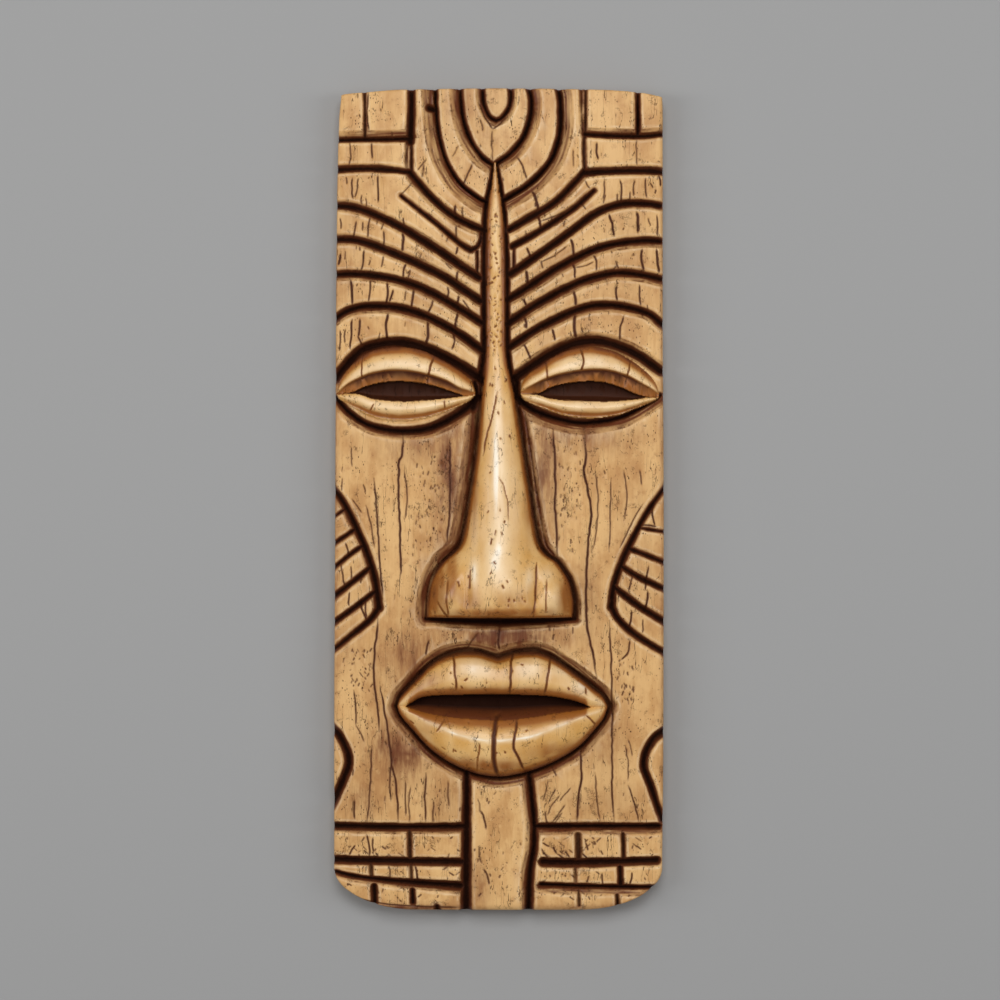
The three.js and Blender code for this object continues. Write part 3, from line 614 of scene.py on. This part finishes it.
def lidForm(lines):
    top, crease, openTop, openLow, low = (
        rowOf(lines[name], fieldX)[None, :] for name in ("top", "crease", "openTop", "openLow", "low")
    )
    ends = toMm([lines["top"][0], lines["top"][-1]])[:, 0]
    s = np.clip((fieldX - ends.mean()) / (np.ptp(ends) / 2), -1, 1)[None, :]
    rise = maskShape["lidRise"] * (0.25 + 0.75 * (1 - np.abs(s) ** 2.6) ** 0.6)
    t = np.clip((top - gridY) / np.maximum(top - crease, 0.3), 0, 1)
    upper = rise * (0.18 + 0.82 * np.sin(np.clip(t * 1.25, 0, 1) * math.pi / 2)) * (1 - 0.45 * ease(0.84, 1.0, t))
    # a painted highlight on the upper lid above the crease
    lidHighlight = 0.48 * ease(0.4, 0.6, t) * ease(0.98, 0.84, t) * (gridY > crease)
    t = np.clip((crease - gridY) / np.maximum(crease - openTop, 0.3), 0, 1)
    rim = rise * (0.55 - 0.1 * t)
    t = np.clip((openLow - gridY) / np.maximum(openLow - low, 0.3), 0, 1)
    lower = rise * (0.6 + 0.22 * np.sin(t * math.pi) - 0.46 * ease(0.4, 0.86, t) + 0.14 * ease(0.88, 0.94, t))
    open_ = (gridY < openTop) & (gridY > openLow)
    gap = np.clip((openTop - openLow) / 3.0, 0, 1)
    floor = maskShape["slitFloor"] * gap + (1 - gap) * rise * 0.3
    s2 = np.clip((openTop - gridY) / np.maximum(openTop - openLow, 0.3), 0, 1)
    floor = floor + (rise * 0.58 - floor) * ease(0.7, 1.05, s2)
    form = np.where(gridY > crease, upper, np.where(gridY > openTop, rim, np.where(open_, floor, lower)))
    inside = (gridY < top) & (gridY > low) & (gridX > ends[0]) & (gridX < ends[1])
    # painted shade in the eye slit, darkest under the upper lid
    shade = np.where(open_ & inside, (0.97 - 0.22 * ease(0.1, 0.7, s2)) * ease(0.1, 0.6, openTop - openLow), 0)
    # brown at the top of the upper lid, along the crease, over the rim band under the lid and low on the lower lid:
    # painted shade, with some amber patina
    ends_ = 1 - s**6
    agedAndShaded = np.exp(-(((top - gridY) / 4.0) ** 2)) * (0.4 + 0.6 * ends_)
    fold = np.exp(-(((gridY - crease) / 1.3) ** 2)) * ends_
    agedAndShaded = np.maximum(agedAndShaded, 0.98 * fold)
    agedAndShaded = np.maximum(agedAndShaded, np.where((gridY < crease) & (gridY > openTop), 0.56, 0))
    low_ = (gridY < openLow) * ends_
    agedAndShaded = np.maximum(agedAndShaded, 0.6 * np.exp(-(((t - 0.8) / 0.16) ** 2)) * low_)
    # painted shade: a dark line along the crease and a fainter one low on the lower lid
    shade = np.maximum(shade, inside * 0.72 * np.exp(-(((gridY - crease) / 0.8) ** 2)) * ends_)
    shade = np.maximum(shade, inside * 0.28 * np.exp(-(((t - 0.88) / 0.035) ** 2)) * low_)
    # a painted highlight along the lower lid
    lidHighlight = np.maximum(lidHighlight, 0.45 * np.sin(np.clip(t / 0.7, 0, 1) * math.pi) * (gridY < openLow))
    lidHighlight = np.where(inside, lidHighlight * ends_, 0)
    return np.where(inside, form, -99.0), shade, np.where(inside, np.where(open_, 1, agedAndShaded), 0), lidHighlight


nose, noseAgeAndShade, noseHighlight = noseForm()
lips, mouthShade, lipAgeAndShade, lipHighlight = lipForm()
lidLeft, slitLeftShade, lidLeftAgeAndShade, lidLeftHighlight = lidForm(leftLid)
lidRight, slitRightShade, lidRightAgeAndShade, lidRightHighlight = lidForm(rightLid)
raised = np.maximum.reduce([nose, lips, lidLeft, lidRight])
ageAndShade = np.maximum.reduce([noseAgeAndShade, lipAgeAndShade, lidLeftAgeAndShade, lidRightAgeAndShade]) * (1 + 0.16 * softNoise(3, 5))

# amber gathered on the raised forms, and painted shade where they turn down and under: column, row, half width, half
# height, amount
ambersAndShade = [
    (436, 590, 14, 30, 0.62), (566, 596, 9, 26, 0.55), (500, 612, 60, 7, 0.5), (452, 575, 8, 26, 0.5),
    (425, 728, 26, 22, 0.2), (480, 764, 60, 9, 0.5), (560, 750, 40, 12, 0.4), (420, 690, 16, 12, 0.3),
    (474, 470, 5, 60, 0.45), (528, 470, 5, 70, 0.5), (510, 597, 20, 12, 0.3), (470, 600, 16, 14, 0.34),
    (500, 723, 62, 8, 0.3), (430, 680, 20, 12, 0.3), (500, 690, 90, 4.4, 0.42), (500, 660, 80, 26, 0.16),
]
for x, y, wide, tall, amount in ambersAndShade:
    spot = toMm([(x, y)])[0]
    away = ((gridX - spot[0]) / (wide * pixel)) ** 2 + ((gridY - spot[1]) / (tall * pixel)) ** 2
    ageAndShade = np.maximum(ageAndShade, amount * np.exp(-away) * (1 + 0.35 * softNoise(2.4, 9)))

# painted highlights and glints on the raised forms: column, row, half width, half height, amount
highlightPlaces = [
    (496, 468, 4.2, 66, 1.0), (496, 558, 10, 26, 1.0), (475, 572, 4.5, 14, 0.85), (529, 578, 4, 11, 0.5),
    (546, 574, 8, 7, 0.5), (552, 600, 8, 14, 0.4), (592, 360, 26, 7, 0.6), (562, 362, 12, 6, 0.4),
    (410, 363, 26, 6, 0.5), (440, 368, 12, 5, 0.4), (583, 684, 12, 9, 0.85), (560, 670, 14, 7, 0.6),
    (474, 668, 18, 9, 0.62), (528, 668, 13, 9, 0.62), (600, 703, 5, 4, 0.4), (400, 406, 40, 4, 0.4), (590, 405, 40, 4, 0.5),
    (475, 520, 4, 38, 0.4), (513, 500, 7, 56, 0.26), (507, 545, 10, 40, 0.2),
]
highlightSpots = np.zeros(gridX.shape)
for x, y, wide, tall, amount in highlightPlaces:
    spot = toMm([(x, y)])[0]
    away = ((gridX - spot[0]) / (wide * pixel)) ** 2 + ((gridY - spot[1]) / (tall * pixel)) ** 2
    highlightSpots = np.maximum(highlightSpots, amount * np.exp(-away))

crown = maskShape["face"] - maskShape["crown"] * (gridX / (cadHigh.x / mm)) ** 2
onForm = raised > -50
blend = np.where(onForm, np.maximum(raised, -2.5), -shoulder - depthOfCut)
gold = onForm * (1.0 - (np.maximum.reduce([slitLeftShade, slitRightShade, mouthShade]) > 0.55))
# on the raised forms the dark holds the painted shade in the mouth, the eye slits and the lid creases, the brown holds
# amber and painted shade, and the light holds the painted highlights
hollowShade = np.maximum(mouthShade, np.maximum(slitLeftShade, slitRightShade))
inkAndShade = np.where(onForm, hollowShade, inkAndShade)
washAndShade = np.where(onForm, np.clip(ageAndShade, 0, 1), washAndShade)
highlight = np.maximum.reduce([noseHighlight, lipHighlight, lidLeftHighlight, lidRightHighlight, highlightSpots]) * (1 + 0.3 * softNoise(4, 7))
wearAndHighlight = np.where(onForm, np.clip(highlight, 0, 1), wearAndHighlight * (1 - inkAndShade) * (1 - washAndShade))

print("opening the cracks")
crackDepth = np.zeros(gridX.shape)
crackInk = np.zeros(gridX.shape)


def crack(width, points):
    line = smoothLine(points, 1.0)
    jitter = chance.uniform(-0.32, 0.32, len(line) // 3 + 2)
    line[:, 0] += np.interp(np.arange(len(line)) / 3, np.arange(len(jitter)), jitter)
    block, distance, side, share = nearLine(line, 3)
    ends = ease(0, 0.12, share) * (1 - ease(0.88, 1, share))
    half = pixel * width * 0.58 * (0.45 + 0.55 * ends)
    open_ = 1 - ease(half * 0.3, half + 0.3, distance + 0.35 * wobble[block])
    raise_(crackDepth, block, open_ * (0.3 + 0.45 * half))
    raise_(crackInk, block, open_ * min(0.97, 0.3 + 0.32 * width) * (0.5 + 0.5 * ends))


for width, points in cracks:
    crack(width, points)
for width, x0, y0, x1, y1 in splits:
    bend = chance.uniform(-0.07, 0.07, 2)
    middle = ((x0 + x1) / 2 + bend[0] * (y1 - y0), (y0 + y1) / 2 + bend[1] * (x1 - x0))
    crack(width, [(x0, y0), middle, (x1, y1)])


def nicks(count, low, high, longest, lean):
    # short dark strokes, close together where the wood is worn
    for n in range(count):
        x, y = chance.uniform(low[0], high[0]), chance.uniform(low[1], high[1])
        run = longest * chance.uniform(0.35, 1.0)
        across = run * chance.uniform(*lean)
        crack(chance.uniform(0.7, 1.5), [(x, y), (x + across, y + run)])


nicks(64, (487, 215), (503, 352), 3, (-0.9, 0.9))
nicks(14, (487, 352), (512, 560), 4, (-0.5, 0.5))
nicks(10, (466, 560), (530, 606), 4, (-0.6, 0.6))
nicks(44, (410, 455), (446, 555), 5, (-0.3, 0.3))
nicks(36, (558, 440), (580, 550), 5, (-0.2, 0.2))
nicks(34, (350, 645), (374, 690), 4, (-0.8, 0.8))
nicks(30, (618, 652), (634, 702), 5, (-0.4, 0.4))
nicks(24, (472, 785), (526, 902), 4, (-0.8, 0.8))
nicks(34, (342, 96), (658, 210), 5, (-0.3, 0.3))
nicks(70, (340, 210), (658, 345), 6, (-0.35, 0.35))
nicks(50, (342, 440), (660, 820), 7, (-0.25, 0.25))
nicks(16, (410, 660), (590, 688), 3.4, (-1.2, 1.2))
nicks(10, (408, 715), (590, 755), 3.6, (-1.6, 1.6))
nicks(36, (342, 834), (460, 857), 5, (-1.8, 1.8))
nicks(24, (342, 866), (460, 900), 4, (-1.6, 1.6))
nicks(34, (541, 836), (656, 857), 5, (-1.8, 1.8))
nicks(24, (541, 867), (650, 902), 4, (-1.6, 1.6))

hollow = np.maximum(mouthShade, np.maximum(slitLeftShade, slitRightShade)) > 0.5
headEdge = (photo["middleY"] - smoothThrough(fieldX / pixel + photo["middleX"], *zip(*topEdge))) * pixel
inkAndShade = inkAndShade * (1 - 0.7 * ease(1.3, 0.3, headEdge[None, :] - gridY))
blend = blend - crackDepth * ~hollow
inkAndShade = np.where(hollow, inkAndShade, np.maximum(inkAndShade, crackInk * 0.58))
washAndShade = np.where(hollow, washAndShade, np.maximum(washAndShade, crackInk))
relief = crown + blend + 0.16 * softNoise(16, 40) + 0.07 * softNoise(5, 14)

# where the face is scratched most: column, row, half width, half height, amount
scratches = [
    (400, 845, 80, 20, 0.5), (600, 845, 70, 20, 0.5), (400, 885, 80, 22, 0.5), (600, 888, 70, 20, 0.5),
    (625, 225, 45, 16, 0.8), (440, 500, 24, 40, 0.6), (560, 805, 30, 24, 0.9), (470, 680, 70, 18, 0.5),
    (440, 750, 40, 20, 0.4), (360, 220, 30, 16, 0.4), (600, 320, 50, 16, 0.4), (470, 150, 30, 40, 0.4),
]
scratched = np.full(gridX.shape, 0.12)
for x, y, wide, tall, amount in scratches:
    spot = toMm([(x, y)])[0]
    away = ((gridX - spot[0]) / (wide * pixel)) ** 4 + ((gridY - spot[1]) / (tall * pixel)) ** 4
    scratched = np.maximum(scratched, amount * np.exp(-away))
scratched = scratched * (np.abs(gridX) > 34 * pixel) + 0.12 * (np.abs(gridX) <= 34 * pixel)

# brown stain beside the raised forms, and painted shade beside and under the nose and along the edges of the board:
# column, row, half width, half height, amount
stainsAndShade = [
    (452, 470, 20, 70, 0.85), (450, 545, 26, 40, 0.6), (546, 460, 16, 80, 0.75), (420, 448, 60, 16, 0.5),
    (580, 438, 60, 14, 0.6), (500, 637, 84, 13, 1.0), (408, 662, 32, 36, 0.75), (400, 748, 38, 36, 0.85),
    (596, 742, 30, 32, 0.4), (360, 800, 26, 26, 0.5), (428, 600, 14, 40, 0.6), (588, 590, 12, 40, 0.4),
    (478, 890, 12, 26, 0.55), (600, 800, 56, 20, 0.3), (445, 800, 22, 22, 0.5), (350, 640, 18, 40, 0.3),
    (470, 120, 40, 50, 0.25), (640, 560, 30, 70, 0.25), (360, 560, 24, 60, 0.2), (495, 300, 12, 80, 0.2),
    (400, 907, 70, 4, 0.9), (600, 907, 60, 4, 0.7), (662, 500, 2.5, 400, 0.5), (336, 500, 2.5, 400, 0.5),
    (350, 250, 16, 60, 0.3), (430, 300, 30, 60, 0.25), (550, 260, 30, 60, 0.22), (630, 250, 30, 70, 0.2),
]
patchesAndShade = np.zeros(gridX.shape)
for x, y, wide, tall, amount in stainsAndShade:
    spot = toMm([(x, y)])[0]
    away = ((gridX - spot[0]) / (wide * pixel)) ** 2 + ((gridY - spot[1]) / (tall * pixel)) ** 2
    patchesAndShade = np.maximum(patchesAndShade, amount * np.exp(-away))
patchesAndShade = np.clip(patchesAndShade * (1 + 0.4 * softNoise(4, 12)), 0, 1) * (1 - gold)
washAndShade = np.where(onForm, washAndShade, np.maximum(washAndShade, 0.74 * ease(0.45, 1.05, patchesAndShade)))


def sample(field, x, y):
    # value of a field at any places on the face
    u = np.clip((x - fieldX[0]) / cell, 0, len(fieldX) - 1.001)
    v = np.clip((y - fieldY[0]) / cell, 0, len(fieldY) - 1.001)
    i, j = u.astype(int), v.astype(int)
    u, v = u - i, v - j
    return ((field[j, i] * (1 - u) + field[j, i + 1] * u) * (1 - v)
            + (field[j + 1, i] * (1 - u) + field[j + 1, i + 1] * u) * v)


def sides(y):
    # left and right edge of the board at each row, with the rounded bottom corners
    row = photo["middleY"] - y / pixel
    bottom = bottomCorner["y"]
    start = bottom - bottomCorner["tall"]
    t = np.clip((row - start) / bottomCorner["tall"], 0, 1)
    pull = 1 - np.sqrt(np.clip(1 - t**2, 0, 1))
    leftX = smoothThrough(row, *zip(*leftSide)) + bottomCorner["leftWide"] * pull
    rightX = smoothThrough(row, *zip(*rightSide)) - bottomCorner["rightWide"] * pull
    return (leftX - photo["middleX"]) * pixel, (rightX - photo["middleX"]) * pixel


def topOf(x):
    column = photo["middleX"] + x / pixel
    return (photo["middleY"] - smoothThrough(column, *zip(*topEdge))) * pixel


def spread(count, finer):
    # places from 0 to 1, closer together near both ends
    t = np.linspace(0, 1, count)
    return t - finer * np.sin(2 * math.pi * t) / (2 * math.pi)


def selectNone():
    bpy.ops.object.select_all(action="DESELECT")


def makeMask():
    selectNone()
    columns, rows = maskShape["columns"], maskShape["rows"]
    bpy.ops.mesh.primitive_grid_add(x_subdivisions=columns - 1, y_subdivisions=rows - 1, size=2)
    mask = bpy.context.object
    mask.name = "carved_mask"
    mask.data.name = "carved_mask"
    count = len(mask.data.vertices)
    spots = np.empty(count * 3)
    mask.data.vertices.foreach_get("co", spots)
    spots = spots.reshape(-1, 3)
    u = spread(columns, 0.5)[np.rint((spots[:, 0] + 1) / 2 * (columns - 1)).astype(int)]
    v = spread(rows, 0.35)[np.rint((spots[:, 1] + 1) / 2 * (rows - 1)).astype(int)]
    bottom = (photo["middleY"] - bottomCorner["y"]) * pixel
    y = bottom + (topOf(0 * u) - bottom) * v
    for again in range(2):
        left, right = sides(y)
        x = left + (right - left) * u
        y = bottom + (topOf(x) - bottom) * v
    height = sample(relief, x, y)
    # worn edges: the distance to each side, combined where they meet
    left, right = sides(y)
    flat = [
        (x - left, edgeRound["left"]),
        (right - x, edgeRound["right"]),
        (topOf(x) - y, edgeRound["top"]),
        (y - bottom, edgeRound["bottom"]),
    ]
    for away, radius in flat:
        t = np.clip(1 - away / radius, 0, 1)
        height -= radius * (1 - np.sqrt(1 - t**2)) * 0.95
    spots[:, 0], spots[:, 1], spots[:, 2] = x * mm, y * mm, height * mm
    mask.data.vertices.foreach_set("co", spots.ravel())
    mask.data.update()

    # the sides and the flat back
    bpy.ops.object.mode_set(mode="EDIT")
    bpy.ops.mesh.select_all(action="DESELECT")
    bpy.ops.mesh.select_mode(type="EDGE")
    bpy.ops.mesh.select_non_manifold()
    for level, inset in ((maskShape["backRound"] * mm, 1.0), (0.0, 0.988)):
        bpy.ops.mesh.extrude_region_move()
        bpy.ops.object.mode_set(mode="OBJECT")
        for vertex in mask.data.vertices:
            if vertex.select:
                vertex.co.z = level
                vertex.co.x *= inset
                vertex.co.y *= 1 - (1 - inset) * 0.4
        bpy.ops.object.mode_set(mode="EDIT")
    bpy.ops.mesh.edge_face_add()
    bpy.ops.mesh.select_all(action="SELECT")
    bpy.ops.mesh.quads_convert_to_tris()
    bpy.ops.mesh.normals_make_consistent(inside=False)
    bpy.ops.object.mode_set(mode="OBJECT")
    full = len(mask.data.polygons)
    thin = mask.modifiers.new("thin", "DECIMATE")
    thin.ratio = maskShape["faces"] / full
    bpy.ops.object.modifier_apply(modifier="thin")
    print("mask faces", full, "then", len(mask.data.polygons))
    bpy.ops.object.shade_smooth_by_angle(angle=math.radians(55))
    return mask


def paintMask(mask):
    # how much ink, wash, varnish, patch, wear and scratching each point carries; the ink and wash hold painted shade
    # as well, and the wear holds painted highlights
    count = len(mask.data.vertices)
    spots = np.empty(count * 3)
    mask.data.vertices.foreach_get("co", spots)
    spots = spots.reshape(-1, 3) / mm
    x, y, z = spots.T
    front = ease(6, 11, z)
    for name, field in (("inkAndShade", inkAndShade), ("washAndShade", washAndShade), ("varnish", gold), ("patchAndShade", patchesAndShade),
                        ("wearAndHighlight", wearAndHighlight), ("scratched", scratched)):
        layer = mask.data.attributes.new(name, "FLOAT", "POINT")
        layer.data.foreach_set("value", sample(field, x, y) * front)


class Wire:
    # one output of a node, with the sums that the finishes use
    def __init__(self, tree, socket):
        self.tree, self.socket = tree, socket

    def math(self, operation, *others, swap=False):
        node = self.tree.nodes.new("ShaderNodeMath")
        node.operation = operation
        values = (*others, self) if swap else (self, *others)
        for slot, value in zip(node.inputs, values):
            plug(self.tree, slot, value)
        return Wire(self.tree, node.outputs[0])

    def __add__(self, other):
        return self.math("ADD", other)

    def __sub__(self, other):
        return self.math("SUBTRACT", other)

    def __mul__(self, other):
        return self.math("MULTIPLY", other)

    def __rsub__(self, other):
        return self.math("SUBTRACT", other, swap=True)

    __radd__, __rmul__ = __add__, __mul__

    def most(self, other):
        return self.math("MAXIMUM", other)

    def size(self):
        return self.math("ABSOLUTE")

    def step(self, low, high):
        # 0 below low and 1 above high, or the other way round, with a soft change between
        node = self.tree.nodes.new("ShaderNodeMapRange")
        node.interpolation_type = "SMOOTHSTEP"
        flip = low > high
        plug(self.tree, node.inputs["Value"], self)
        node.inputs["From Min"].default_value = min(low, high)
        node.inputs["From Max"].default_value = max(low, high)
        node.inputs["To Min"].default_value = 1.0 if flip else 0.0
        node.inputs["To Max"].default_value = 0.0 if flip else 1.0
        return Wire(self.tree, node.outputs["Result"])


def plug(tree, slot, value):
    if isinstance(value, Wire):
        tree.links.new(value.socket, slot)
    else:
        slot.default_value = value


def colour(red, green, blue):
    # a colour as it looks on screen, 0 to 255, turned into the linear one that shaders take
    parts = [part / 255 for part in (red, green, blue)]
    linear = [p / 12.92 if p <= 0.04045 else ((p + 0.055) / 1.055) ** 2.4 for p in parts]
    return (*linear, 1.0)


class Finish:
    # one material and the few kinds of node that it is built from
    def __init__(self, name):
        self.material = bpy.data.materials.new(name)
        self.material.use_nodes = True
        self.tree = self.material.node_tree
        self.shader = self.tree.nodes["Principled BSDF"]

    def node(self, kind, output=0, settings=(), **inputs):
        node = self.tree.nodes.new(kind)
        for key, value in dict(settings).items():
            setattr(node, key, value)
        for key, value in inputs.items():
            plug(self.tree, node.inputs[key.replace("_", " ")], value)
        return Wire(self.tree, node.outputs[output])

    def places(self, across, along, out, turn=0.0):
        # the object's own places, in millimetres, divided by the given lengths
        spot = self.node("ShaderNodeTexCoord", "Object")
        return self.node(
            "ShaderNodeMapping", Vector=spot, Rotation=(0, 0, turn),
            Scale=(1 / mm / across, 1 / mm / along, 1 / mm / out),
        )

    def noise(self, across, along, detail=3.0, roughness=0.5, distortion=0.0, turn=0.0):
        return self.node(
            "ShaderNodeTexNoise", "Fac", Vector=self.places(across, along, across, turn), Scale=1.0,
            Detail=detail, Roughness=roughness, Distortion=distortion,
        )

    def layer(self, name):
        return self.node("ShaderNodeAttribute", "Fac", {"attribute_name": name})

    def mix(self, share, under, over, kind="MIX"):
        node = self.tree.nodes.new("ShaderNodeMix")
        node.data_type = "RGBA"
        node.blend_type = kind
        plug(self.tree, node.inputs[0], share)
        plug(self.tree, node.inputs[6], under)
        plug(self.tree, node.inputs[7], over)
        return Wire(self.tree, node.outputs[2])

    def set(self, **values):
        for key, value in values.items():
            plug(self.tree, self.shader.inputs[key.replace("_", " ")], value)


# ink, wash, amber and patch are also the colours of painted shade; wear is also a painted highlight, and shine a
# painted highlight on the varnish
woodLook = {
    "light": (223, 179, 120),
    "middle": (204, 156, 99),
    "dark": (170, 118, 70),
    "gold": (230, 188, 124),
    "varnish": (213, 160, 80),
    "amberAndShade": (152, 90, 30),
    "patchAndShade": (124, 70, 38),
    "washAndShade": (102, 52, 27),
    "inkAndShade": (30, 10, 3),
    "pit": (54, 27, 14),
    "wearAndHighlight": (246, 222, 184),
    "shine": (255, 245, 226),
    "roughness": 0.5,
    "gloss": 0.3,
}


def woodFinish():
    wood = Finish("carved_wood")
    look = {key: colour(*value) for key, value in woodLook.items() if isinstance(value, tuple)}
    inkAndShade, washAndShade, varnish = wood.layer("inkAndShade"), wood.layer("washAndShade"), wood.layer("varnish")
    patchAndShade, wearAndHighlight, scratched = wood.layer("patchAndShade"), wood.layer("wearAndHighlight"), wood.layer("scratched")

    grain = wood.noise(2.4, 30, detail=5, roughness=0.6, distortion=0.5)
    clouds = wood.noise(16, 30, detail=4, roughness=0.55)
    fine = wood.noise(0.7, 8, detail=3, roughness=0.6)
    tone = (grain * 0.28 + clouds * 0.72).step(0.38, 0.6)
    base = wood.mix(tone, look["light"], look["middle"])
    base = wood.mix(clouds.step(0.5, 0.74) * 0.4, base, look["dark"])
    golden = wood.mix(clouds.step(0.3, 0.66), look["gold"], look["varnish"])
    base = wood.mix(varnish * 0.85, base, golden)
    base = wood.mix(fine.step(0.56, 0.72) * 0.22, base, look["dark"])
    blots = wood.noise(5, 7, detail=3, roughness=0.6)
    base = wood.mix(blots.step(0.54, 0.72) * 0.4 * (1 - varnish), base, look["dark"])
    base = wood.mix(blots.step(0.44, 0.3) * 0.5 * (1 - varnish), base, look["light"])
    # painted highlights, with worn pale wood, on the forms and along the rims of the cuts
    wornAndHighlight = wood.mix(varnish * wearAndHighlight.step(0.55, 0.95), look["wearAndHighlight"], look["shine"])
    base = wood.mix(wearAndHighlight * (0.75 + varnish * 0.15), base, wornAndHighlight)

    # pits: short dark dashes along the grain, thick in some places and rare in others
    cells = wood.node(
        "ShaderNodeTexVoronoi", "Distance", {"feature": "F1"},
        Vector=wood.places(1.3, 2.8, 1.3), Scale=1.0, Randomness=1.0,
    )
    small = wood.node(
        "ShaderNodeTexVoronoi", "Distance", {"feature": "F1"},
        Vector=wood.places(0.9, 1.3, 0.9, 0.3), Scale=1.0, Randomness=1.0,
    )
    pits = cells.step(0.26, 0.14) * wood.noise(9, 16, detail=2).step(0.52, 0.62) * (1 - 0.6 * varnish)
    pits = pits.most(small.step(0.22, 0.1) * wood.noise(5, 9, detail=2).step(0.56, 0.66))
    # hairline splits along the grain, and worn scratches that wander
    hair = (wood.noise(7, 60, detail=4, roughness=0.55) - 0.5).size().step(0.006, 0.0018)
    hair = hair * wood.noise(12, 18, detail=1).step(0.48, 0.56)
    worms = (wood.noise(2.6, 3.0, detail=4, roughness=0.65, distortion=1.0) - 0.5).size().step(0.035, 0.008)
    worms = worms * (wood.noise(6, 6, detail=3) + scratched * 0.13).step(0.6, 0.7)
    marks = pits.most(hair).most(worms * 0.8)

    # brown patches and washes, with painted shade beside and under the forms
    streaky = wood.noise(1.8, 9, detail=5, roughness=0.65)
    darkening = patchAndShade * (0.55 + streaky.step(0.36, 0.6) * 0.45)
    now = wood.mix(darkening, base, look["patchAndShade"])
    agedAndShaded = wood.mix(washAndShade.step(0.0, 0.55), now, look["amberAndShade"])
    agedAndShaded = wood.mix(washAndShade.step(0.5, 1.05), agedAndShaded, look["washAndShade"])
    stainedAndShaded = wood.mix(washAndShade.step(0.05, 0.95), now, look["washAndShade"])
    now = wood.mix(varnish, stainedAndShaded, agedAndShaded)
    now = wood.mix(marks * 0.85, now, look["pit"])
    now = wood.mix(inkAndShade, now, look["inkAndShade"])

    height = (grain * 0.12 + clouds * 0.25 + fine * 0.08) * (1 - 0.7 * varnish)
    height = height - pits * 0.8 - hair * 0.7 - worms * 0.5
    bump = wood.node("ShaderNodeBump", 0, Strength=0.6, Distance=0.35 * mm, Height=height)
    rough = woodLook["roughness"] + inkAndShade * 0.3 + darkening * 0.1 - varnish * 0.16 + grain * 0.1
    dry = 1 - inkAndShade.most(marks)
    wood.set(
        Base_Color=now, Roughness=rough, Normal=bump,
        Coat_Weight=(woodLook["gloss"] + varnish * 0.7 * (1 - washAndShade * 0.7)) * dry,
    )
    wood.shader.inputs["Coat Roughness"].default_value = 0.36
    wood.shader.inputs["Specular IOR Level"].default_value = 0.07
    return wood.material


def plainFinish(name, shade, roughness):
    plain = Finish(name)
    plain.set(Base_Color=colour(*shade), Roughness=roughness)
    return plain.material


print("making the mask")
mask = makeMask()
paintMask(mask)
mask.data.materials.append(woodFinish())
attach(mask, "root")
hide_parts("tiki_mask")

floorLook = {"size": 14.0, "shade": (157, 157, 157), "roughness": 0.9}
selectNone()
bpy.ops.mesh.primitive_plane_add(size=floorLook["size"], location=(0, 0, 0))
floor = bpy.context.object
floor.name = "floor"
floor.data.materials.append(plainFinish("floor_paint", floorLook["shade"], floorLook["roughness"]))

lamps = {  # place, size across and along, watts; each lamp faces the mask
    "top": ((0.03, 0.64, 1.8), (0.8, 0.8), 15.6),
    "left": ((-1.5, 0.1, 1.3), (0.4, 1.4), 10.6),
    "right": ((1.5, 0.1, 1.4), (0.4, 1.4), 8.4),
}
for name, (spot, size, watts) in lamps.items():
    bpy.ops.object.light_add(type="AREA", location=spot)
    lamp = bpy.context.object
    lamp.name = "lamp_" + name
    lamp.data.shape = "RECTANGLE"
    lamp.data.size, lamp.data.size_y = size
    lamp.data.energy = watts
    lamp.rotation_mode = "QUATERNION"
    lamp.rotation_quaternion = (-lamp.location).to_track_quat("-Z", "Y")

world = bpy.data.worlds.new("studio")
bpy.context.scene.world = world
world.use_nodes = True
world.node_tree.nodes["Background"].inputs["Color"].default_value = (1, 1, 1, 1)
world.node_tree.nodes["Background"].inputs["Strength"].default_value = 0.31

cameraPlan = {"away": 1.7, "level": 0.018}  # metres above the level that fills the photograph's frame
span = photo["side"] * pixel * mm
bpy.ops.object.camera_add(
    location=(
        (photo["side"] / 2 - photo["middleX"]) * pixel * mm,
        (photo["middleY"] - photo["side"] / 2) * pixel * mm,
        cameraPlan["level"] + cameraPlan["away"],
    ),
    rotation=(0, 0, 0),
)
camera = bpy.context.object
camera.data.lens = camera.data.sensor_width * cameraPlan["away"] / span
bpy.context.scene.camera = camera
bpy.context.scene.view_settings.view_transform = "Standard"
